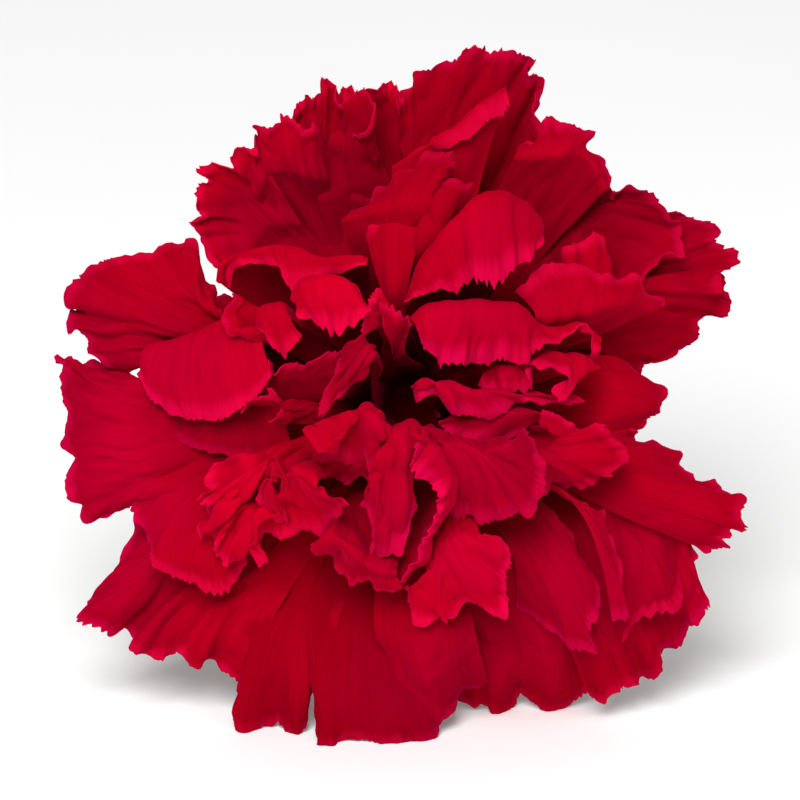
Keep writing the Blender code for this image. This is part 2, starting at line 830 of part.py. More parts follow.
def make_bloom(made):
    """Every petal fused at its root to one core, which stands for the bundled claws and the ovary."""
    core = turned_solid("bloom", CORE_PROFILE, CORE_SIDES, made)
    petals = []
    for index, spec in enumerate(PETALS):
        petals.append(sheet_solid(f"petal_{index:02d}", blade_middle(spec), BLADE_THICKNESS, made))
    combine(core, petals, "UNION", "MANIFOLD")
    combine(core, [below_table()], "DIFFERENCE", "MANIFOLD")
    return keep_outer_body(core)


def make_calyx(made):
    """A tube closed below, its mouth cut into five pointed teeth."""
    sides = CALYX_SIDES
    lowest = CALYX_OUTER[0][1] + CALYX_FLOOR
    inner = [(radius - CALYX_WALL, max(height, lowest)) for radius, height in CALYX_OUTER]
    points = []
    faces = []

    def ring(radius, heights):
        start = len(points)
        for k in range(sides):
            angle = 2 * math.pi * k / sides
            points.append((radius * math.cos(angle), radius * math.sin(angle), heights[k]))
        return list(range(start, start + sides))

    def join(lower, upper):
        for k in range(sides):
            j = (k + 1) % sides
            faces.append((lower[k], lower[j], upper[j], upper[k]))

    teeth = []
    for k in range(sides):
        across = k * CALYX_TEETH / sides % 1.0
        rise = TOOTH_ROOT + (TOOTH_LENGTH - TOOTH_ROOT) * (1 - abs(2 * across - 1))
        teeth.append(CALYX_OUTER[-1][1] + rise)
    outer = [ring(radius, [height] * sides) for radius, height in CALYX_OUTER]
    mouth = CALYX_OUTER[-1][0] + CALYX_FLARE
    tip = ring(mouth, teeth)
    tip_in = ring(mouth - CALYX_WALL, teeth)
    inside = [ring(radius, [height] * sides) for radius, height in reversed(inner)]
    chain = outer + [tip, tip_in] + inside
    for lower, upper in zip(chain, chain[1:]):
        join(lower, upper)
    faces.append(tuple(reversed(chain[0])))
    faces.append(tuple(chain[-1]))
    obj = new_object("calyx", points, faces, made)
    face_out(obj)
    bracts = [make_bract(index, made) for index in range(BRACTS)]
    combine(obj, bracts, "UNION")
    return obj


def make_bract(index, made):
    """One pointed scale that hugs the foot of the calyx, its inner face sunk into the tube."""
    u = np.linspace(-1, 1, 5)[None, :]
    v = np.linspace(0, 1, 6)[:, None]
    length = BRACT_LENGTH * (1.0 if index % 2 else 0.8)
    height = CALYX_OUTER[0][1] + 0.5 + v * length
    radius = np.interp(height, [z for _, z in CALYX_OUTER], [r for r, _ in CALYX_OUTER]) + 0.12
    spread = math.radians(BRACT_HALF_ANGLE) * (1 - v**2) ** 0.8 + math.radians(2)
    angle = 2 * math.pi * (index + 0.5) / BRACTS + u * spread
    middle = np.stack([radius * np.cos(angle), radius * np.sin(angle), height + 0 * angle], axis=2)
    return sheet_solid(f"bract_{index}", middle, BRACT_THICKNESS, made)


def tube_points(path, radii, sides):
    points = []
    for centre, radius in zip(path, radii):
        for k in range(sides):
            angle = 2 * math.pi * k / sides
            x, y, z = centre
            points.append((x + radius * math.cos(angle), y + radius * math.sin(angle), z))
    return points


def make_stem(made):
    """A round stem with one swollen node, cut at a slant and trimmed flat where it bears on the surface."""
    sides = STEM_SIDES
    top = CALYX_OUTER[0][1] - CALYX_GAP
    stations = [
        (0.0, STEM_TOP_RADIUS),
        (3.0, STEM_RADIUS),
        (NODE_AT - 3.5, STEM_RADIUS),
        (NODE_AT - 1.0, NODE_RADIUS),
        (NODE_AT + 1.0, NODE_RADIUS),
        (NODE_AT + 3.0, STEM_RADIUS),
        (STEM_LENGTH, STEM_RADIUS),
    ]
    path = [(0, 0, top - down) for down, _ in stations]
    points = tube_points(path, [radius for _, radius in stations], sides)
    for index in range(len(points) - sides, len(points)):
        x, y, z = points[index]
        points[index] = (x, y, z + STEM_CUT_SLOPE * x)
    faces = []
    for row in range(len(stations) - 1):
        for k in range(sides):
            a, b = row * sides + k, row * sides + (k + 1) % sides
            faces.append((a, b, b + sides, a + sides))
    faces.append(tuple(range(sides - 1, -1, -1)))
    last = (len(stations) - 1) * sides
    faces.append(tuple(range(last, last + sides)))
    obj = new_object("stem", points, faces, made)
    face_out(obj)
    combine(obj, [below_table()], "DIFFERENCE")
    return obj


def leaf_points(side, columns, rows):
    """Middle surface of a narrow leaf that clasps the stem's node and arches away to one side."""
    u = np.linspace(-1, 1, columns + 1)[None, :]
    v = np.linspace(0, 1, rows + 1)[:, None]
    foot = CALYX_OUTER[0][1] - CALYX_GAP - NODE_AT
    half = LEAF_WIDTH / 2 * (1 - v**2.2) ** 0.75 * (0.8 + 0.5 * v) + 0.25
    angle = np.radians(82 - 62 * smooth(v / 0.9))
    step = LEAF_LENGTH / rows
    out = NODE_RADIUS + 0.9 + np.concatenate([[[0]], np.cumsum(np.cos(angle[1:]), axis=0) * step])
    rise = foot + np.concatenate([[[0]], np.cumsum(np.sin(angle[1:]), axis=0) * step])
    keel = 0.32 * np.abs(u) ** 1.5 * half * (1 - 0.5 * v)
    x = out - keel * np.sin(angle)
    z = rise + keel * np.cos(angle)
    y = u * half
    return np.stack([side * x, y * np.ones_like(x), z * np.ones_like(x)], axis=2)


def make_leaf(name, side, made):
    middle = leaf_points(side, 4, 10)
    return sheet_solid(name, middle, LEAF_THICKNESS, made)


def main():
    for obj in list(bpy.data.objects):
        bpy.data.objects.remove(obj)
    red = material("petal_red", RED, 0.85)
    green = material("calyx_green", GREEN, 0.6)
    glaucous = material("leaf_green", GLAUCOUS, 0.6)
    make_bloom(red)
    make_calyx(green)
    make_stem(green)
    make_leaf("leaf_left", -1, glaucous)
    make_leaf("leaf_right", 1, glaucous)
    for obj in bpy.data.objects:
        obj.data.shade_smooth()
        obj.data.set_sharp_from_angle(angle=math.radians(40))


main()
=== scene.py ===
"""A cut double carnation in deep crimson, laid on a pale table and seen straight into its bloom."""

import math

import bmesh
import bpy
import numpy as np
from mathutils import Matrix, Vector


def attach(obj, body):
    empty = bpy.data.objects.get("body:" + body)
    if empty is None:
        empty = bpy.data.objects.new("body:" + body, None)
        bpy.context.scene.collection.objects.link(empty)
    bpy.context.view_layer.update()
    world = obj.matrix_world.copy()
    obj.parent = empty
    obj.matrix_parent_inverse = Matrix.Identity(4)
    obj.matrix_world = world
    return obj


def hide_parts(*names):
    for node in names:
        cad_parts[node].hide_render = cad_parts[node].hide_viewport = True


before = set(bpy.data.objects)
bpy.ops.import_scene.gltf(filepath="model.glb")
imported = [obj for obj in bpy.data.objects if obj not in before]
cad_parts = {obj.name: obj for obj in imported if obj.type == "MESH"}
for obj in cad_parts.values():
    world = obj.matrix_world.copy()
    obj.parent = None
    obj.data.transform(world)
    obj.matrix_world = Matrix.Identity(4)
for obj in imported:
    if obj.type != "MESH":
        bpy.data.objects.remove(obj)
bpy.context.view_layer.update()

MM = 0.001

# The flower's own frame, in mm, has its origin in the middle of the calyx mouth and +Z out of the bloom.
TILT = math.radians(18.6)
MOUTH_AT = Vector((0.91, -36.98, 35.7)) * MM

# The petals' points are read off the photograph. One pixel is PIXEL mm at the height VIEW_PLANE.
IMAGE_SIDE = 800
PIXEL = 76.0 / 695.0
AXIS_PIXEL = (410.0, 400.0)
VIEW_PIXEL = 400.0
VIEW_DISTANCE = 600.0
VIEW_PLANE = 5.0
SENSOR = 36.0
CLIP = (0.01, 20.0)

# Above DOME_FROM the inner petals stand higher by this share.
DOME = 0.35
DOME_FROM = 4.0

# A curve's knots lie apart by this power of its points' distances.
CHORD_POWER = 0.7

# Sheets thin to these shares of their thickness. Edges of more than so many degrees stay sharp.
PETAL_TIP = 0.6
SHARP_TIP = 0.5
SHEET_SHARP = 60
RING_SHARP = 50

BLOOM_SEED = 100
PETAL_THICKNESS = 0.24

# A petal leaves its claw outwards and upwards by these shares, and bends towards its rim by the next two.
RISE_OUT = 0.25
RISE_UP = 0.95
RIM_AHEAD = 1.6
RIM_BACK = 0.6

# What a petal has where its entry says nothing else
PLAIN_PETAL = dict(
    deep=5.0, wide=1.7, dip=0.0, tooth=1.0, frill=1.0, hem=1.0, pleat=0.12, crumple=1.0, tone=1.0
)

# The petals' grids: steps in mm, fewest and most of them, and how the rows crowd towards the rim
COLUMN_STEP = 0.26
COLUMN_LIMITS = (40, 250)
ROW_STEP = 0.42
ROW_LIMITS = (30, 76)
ROW_CROWDING = 1.25
RIM_SAMPLES = 40

# Noise is a sum of waves whose lengths vary by these shares. HARDEN makes its slopes steeper.
RIPPLE_WAVES = 7
RIPPLE_SPREAD = (0.7, 1.8)
HARDEN = 1.5

# Teeth, lobes and nicks of the margin, in mm
TEETH_PITCH = 1.0
TEETH_HIGH = 0.62
TEETH_MIDDLE = 0.2
TEETH_DRIFT = 1.1
TEETH_SMALLEST = 0.25
LOBES_HIGH = 0.24
NICK_FROM = 1.15

# Noise along a margin: the line that it is read on and the length of its waves, in mm
TEETH_DRIFT_LINE = (0.0, 3.0)
LOBE_LINE = (3.0, 4.5)
NICK_LINE = (5.0, 3.2)
TEETH_SIZE_LINE = (8.0, 6.0)
GATE_LINE = (9.0, 12.0)
FRILL_DRIFT_LINE = (2.0, 9.0)
CRIMP_SIZE_LINE = (1.0, 7.0)

# Noise over a petal: its squeeze along the petal, the length of its waves and their height, in mm
CRIMP = (0.9, 2.4, 0.44)
FAN = (0.25, 7.0, 0.30)
FOLD = (0.2, 13.0, 0.45)
WAVE = (0.9, 15.0, 0.42)
CREASE = (1.0, 11.0, 0.42)
DENT = (0.9, 5.5, 0.26)
TINY = (0.6, 3.0, 0.07)

# The waved margin and the crinkled hem, in mm
FRILL_HIGH = 0.30
FRILL_LENGTH = 5.5
FRILL_DRIFT = 0.35
FRILL_PHASE = 6.0
CRIMP_SMALLEST = 0.4
HEM = 2.4

# Where along a petal its folds, waves and teeth begin, and how narrow their pattern is at the claw
FOLDS_FROM = 0.15
FOLDS_RISE = 0.7
EDGE_FROM = 0.6
EDGE_POWER = 1.4
TEETH_FROM = 0.8
FOOT_SHARE = 0.12
FOOT_END = 0.9

# The broad hidden petals of the lowest layer
BACKING_POINTS = 4
BACKING_ROOT = 5.8
BACKING_BEND = 17.0
BACKING_LIFT = 2.0
BACKING_ROUND = 6.0
BACKING_POWER = 2.5
BACKING_WAVE = 0.8

# The bundled claws: radius and height of each ring, and their flutes
CLAW_PROFILE = (
    (3.6, -28.6), (5.2, -25.0), (5.9, -18.0), (6.1, -9.0), (6.2, -2.0), (5.6, 0.5), (4.2, 0.0), (2.0, -3.0),
)
CLAW_SIDES = 72
CLAW_FLUTES = ((18, 0.05), (7, 0.02))

# Calyx: radius and height of its outline, then its ribs, teeth and wall, all in mm
CALYX_OUTER = ((3.4, -31.0), (5.6, -29.4), (6.9, -25.5), (7.4, -18.0), (7.8, -10.0), (8.1, -4.5))
CALYX_FOOT = CALYX_OUTER[0][1]
CALYX_MOUTH = CALYX_OUTER[-1][1]
CALYX_GAP = 0.3
CALYX_SIDES = 120
CALYX_ROWS = 40
TOOTH_ROWS = 8
CALYX_RIBS = 25
CALYX_RIB_HIGH = 0.10
CALYX_SKIN = 0.1
CALYX_WALL = 0.9
CALYX_TEETH = 5
TOOTH_LENGTH = 4.1
TOOTH_FOOT = 0.8
TOOTH_POWER = 1.15
TOOTH_FLARE = 0.12
TOOTH_WALL = 0.2
TOOTH_GROWTH = 0.5
CALYX_FLOOR = 1.2
CALYX_FOOT_IN = 1.2
CALYX_LIP = 1.5

# Bracts in mm and degrees: every other one is shorter
BRACTS = 4
BRACT_LENGTH = 11.0
BRACT_SHORT = 0.8
BRACT_HALF_ANGLE = 38.0
BRACT_TIP_ANGLE = 1.5
BRACT_POWER = 0.8
BRACT_RISE = 0.3
BRACT_LIFT = 0.35
BRACT_TIP_LIFT = 0.25
BRACT_CUP = 0.12
BRACT_CUP_FROM = 0.3
BRACT_THICKNESS = 0.4

# Stem: its swollen node is NODE_AT mm below its top, which meets the calyx, and it's cut at a slant.
STEM_SIDES = 48
STEM_ROWS = 40
NODE_ROWS = 24
STEM_RADIUS = 2.2
STEM_TOP_RADIUS = 2.6
STEM_TOP_LENGTH = 1.6
STEM_LENGTH = 75.0
STEM_CUT_SLOPE = 0.6
STEM_FURROWS = 9
FURROW_DEEP = 0.03
NODE_AT = 46.0
NODE_RADIUS = 3.1
NODE_HALF_LENGTH = 2.0
NODE_HEIGHT = CALYX_FOOT - CALYX_GAP - NODE_AT

# Leaves: they leave the stem at LEAF_STEEP degrees and arch down by LEAF_ARCH.
LEAF_GRID = (24, 90)
LEAF_LENGTH = 40.0
LEAF_WIDTH = 5.0
LEAF_THICKNESS = 0.45
LEAF_STEEP = 82
LEAF_ARCH = 62
LEAF_FOOT_OUT = 0.9
LEAF_TAPER = (2.2, 0.75)
LEAF_FOOT_SHARE = 0.8
LEAF_SWELL = 0.5
LEAF_TIP = 0.15
LEAF_KEEL = 0.32
LEAF_KEEL_POWER = 1.5
LEAF_TWIST = 0.12

# The leaves' sheath, with its rim highest at the leaves. Its foot, outside and inside start at UNDER.
SHEATH_SIDES = 64
SHEATH_ROWS = 12
SHEATH_UNDER = (1.6, 1.4, 1.3)
SHEATH_RIM = 3.2
SHEATH_RIM_RISE = 1.6
SHEATH_RIM_EDGE = 0.05
SHEATH_CLEAR = 0.15
SHEATH_FLARE = 0.55
SHEATH_WALL = 0.3
SHEATH_FOOT_IN = 0.1

# The petals' colour from claw to rim, with painted shade and highlight, and the cooler tint that drifts
# over them
# The dark stops towards the claw are painted shade; the pale stop at the rim is a painted highlight.
PETAL_COLOURS_SHADE_AND_HIGHLIGHT = (
    (0.0, (0.11, 0.0, 0.001)),
    (0.35, (0.31, 0.0, 0.006)),
    (0.8, (0.415, 0.0, 0.012)),
    (0.962, (0.415, 0.0, 0.012)),
    (0.985, (0.58, 0.001, 0.03)),
)
PETAL_COOL = (0.95, 1.0, 1.5)
# Painted shade at heights in mm along the flower's axis: lower, outer petals are painted darker.
SHADE_LOW, SHADE_HIGH = -6.0, 22.0
DEPTH_SHADES = ((0.0, 0.6), (0.25, 0.76), (0.43, 0.86), (0.7, 0.92), (1.0, 0.93))

# The petals' veins, patches and grain, as the stretch or the fineness of a noise, and how much they show
VEIN_STRETCH = (16.0, 0.9, 1.0)
VEIN_SHARE = 0.7
PETAL_PATCHES = 90.0
PETAL_DRIFT = 38.0
PETAL_GRAIN = 2600.0
PETAL_GLOW = {
    "Sheen Weight": 0.3,
    "Sheen Roughness": 0.35,
    "Sheen Tint": (1.0, 0.01, 0.12, 1.0),
    "Subsurface Weight": 0.12,
    "Subsurface Radius": (1.0, 0.02, 0.05),
    "Subsurface Scale": 0.0008,
}

# Greens: colour, waxy tint, the stretch of the streaks and how fine they are
GREENS = {
    "calyx": ((0.17, 0.30, 0.09), (0.36, 0.46, 0.28), (1.0, 0.06, 1.0), 1500.0),
    "stem": ((0.16, 0.28, 0.10), (0.34, 0.45, 0.32), (1.0, 0.05, 1.0), 1300.0),
    "leaf": ((0.18, 0.30, 0.19), (0.40, 0.50, 0.42), (1.0, 0.2, 0.2), 900.0),
}
STREAK_DARK = 0.72
WAX_SHARE = 0.6
GREEN_PATCHES = 140.0
GREEN_GRAIN = 3000.0
EVEN = (1.0, 1.0, 1.0)

# Table in metres, and lights: place in mm in the flower's frame, size in metres and power in watts
FLOOR_DARK = 0.92
FLOOR_LIGHT = 0.95
FLOOR_PATCHES = 6.0
FLOOR_HALF = 4.0
FLOOR_DROP = 0.00002
SKY = 0.46
LIGHTS = {
    "key_light": ((-250.0, 650.0, 1700.0), 0.9, 40.0),
    "fill_light": ((900.0, 500.0, 1600.0), 1.2, 4.0),
}
LIGHTS_AIM = (0.0, 0.0, 10.0)


def to_world(points):
    """Millimetres in the flower's frame to metres in the world's."""
    x, y, z = np.moveaxis(np.asarray(points, float), -1, 0)
    up, along = math.sin(TILT), math.cos(TILT)
    turned = np.stack([x, y * up - z * along, y * along + z * up], axis=-1)
    return turned * MM + np.array(MOUTH_AT)


def above_table(points):
    """Points of the flower's frame in the world's, none of them under the table's top."""
    world = to_world(points).reshape(-1, 3)
    world[:, 2] = np.maximum(world[:, 2], 0.0)
    return world


def smooth(t):
    """A smooth step from 0 to 1."""
    t = np.clip(t, 0.0, 1.0)
    return t * t * (3.0 - 2.0 * t)


def place(points):
    """Photograph pixels and heights in mm to the flower's frame, seen from VIEW_DISTANCE."""
    points = np.array(points, float)
    points[:, 2] += DOME * np.maximum(points[:, 2] - DOME_FROM, 0)
    near = PIXEL * (VIEW_DISTANCE - points[:, 2]) / (VIEW_DISTANCE - VIEW_PLANE)
    x = (points[:, 0] - VIEW_PIXEL) * near + (VIEW_PIXEL - AXIS_PIXEL[0]) * PIXEL
    y = (VIEW_PIXEL - points[:, 1]) * near + (AXIS_PIXEL[1] - VIEW_PIXEL) * PIXEL
    return np.stack([x, y, points[:, 2]], axis=1)


def steps(points):
    """The distances between the points of a line."""
    return np.linalg.norm(np.diff(points, axis=0), axis=1)


def normals(grid):
    """The unit normals of a grid of points."""
    normal = np.cross(np.gradient(grid, axis=1), np.gradient(grid, axis=0))
    return normal / (np.linalg.norm(normal, axis=2, keepdims=True) + 1e-9)


def hermite(t, start, leave, end, arrive):
    """A cubic from start to end, with the two slopes given, read at t from 0 to 1."""
    return (
        (2 * t**3 - 3 * t**2 + 1) * start
        + (t**3 - 2 * t**2 + t) * leave
        + (3 * t**2 - 2 * t**3) * end
        + (t**3 - t**2) * arrive
    )


def curve(points, t):
    """A smooth curve through the points, read at t from 0 to 1."""
    chord = steps(points) ** CHORD_POWER
    knots = np.concatenate([[0], np.cumsum(chord)]) / chord.sum()
    slope = np.gradient(points, knots, axis=0)
    k = np.clip(np.searchsorted(knots, t, side="right") - 1, 0, len(knots) - 2)
    span = (knots[k + 1] - knots[k])[:, None]
    s = (t - knots[k])[:, None] / span
    return hermite(s, points[k], slope[k] * span, points[k + 1], slope[k + 1] * span)


def petal_lines(spec, u):
    """The claw, crest and rim of one petal, read at u from 0 to 1 along its width."""
    rim, crest = curve(place(spec["rim"]), u), curve(place(spec["crest"]), u)
    turn = math.radians(spec["root"])
    outward = np.array([math.cos(turn), math.sin(turn), 0.0])
    side = np.array([-math.sin(turn), math.cos(turn), 0.0])
    if side @ (rim[-1] - rim[0]) < 0:
        side = -side
    claw = spec["deep"] * outward + side * spec["wide"] * (2 * u[:, None] - 1)
    return claw, crest, rim, outward


def petal(root, rim, crest, **own):
    """One petal, with its rim and crest as (column, row, height).

    root and deep are its root's azimuth and radius, wide is half the claw's width, and dip is how far it
    sags halfway from the claw to the crest. tooth, frill, hem, pleat and crumple are the shares of teeth,
    waves, crinkled margin, pleats and crumples, and tone is the petal's painted light and shade: how much
    paler or deeper it is painted than the others.
    """
    return PLAIN_PETAL | dict(root=root, rim=rim, crest=crest) | own


def backing_petal(root, reach, half_angle, height):
    """A broad fan of the lowest layer, from its azimuth, its reach in mm and its spread in degrees."""
    rim, crest = [], []
    for k in range(BACKING_POINTS):
        share = 2 * k / (BACKING_POINTS - 1) - 1
        turn = math.radians(root + half_angle * share)
        across, up = math.cos(turn) / PIXEL, math.sin(turn) / PIXEL
        far = reach - BACKING_ROUND * abs(share) ** BACKING_POWER
        near = BACKING_BEND
        wave = BACKING_WAVE * (-1) ** k
        rim.append((AXIS_PIXEL[0] + far * across, AXIS_PIXEL[1] - far * up, height + wave))
        crest.append((AXIS_PIXEL[0] + near * across, AXIS_PIXEL[1] - near * up, height + BACKING_LIFT))
    return petal(root, rim, crest, deep=BACKING_ROOT)


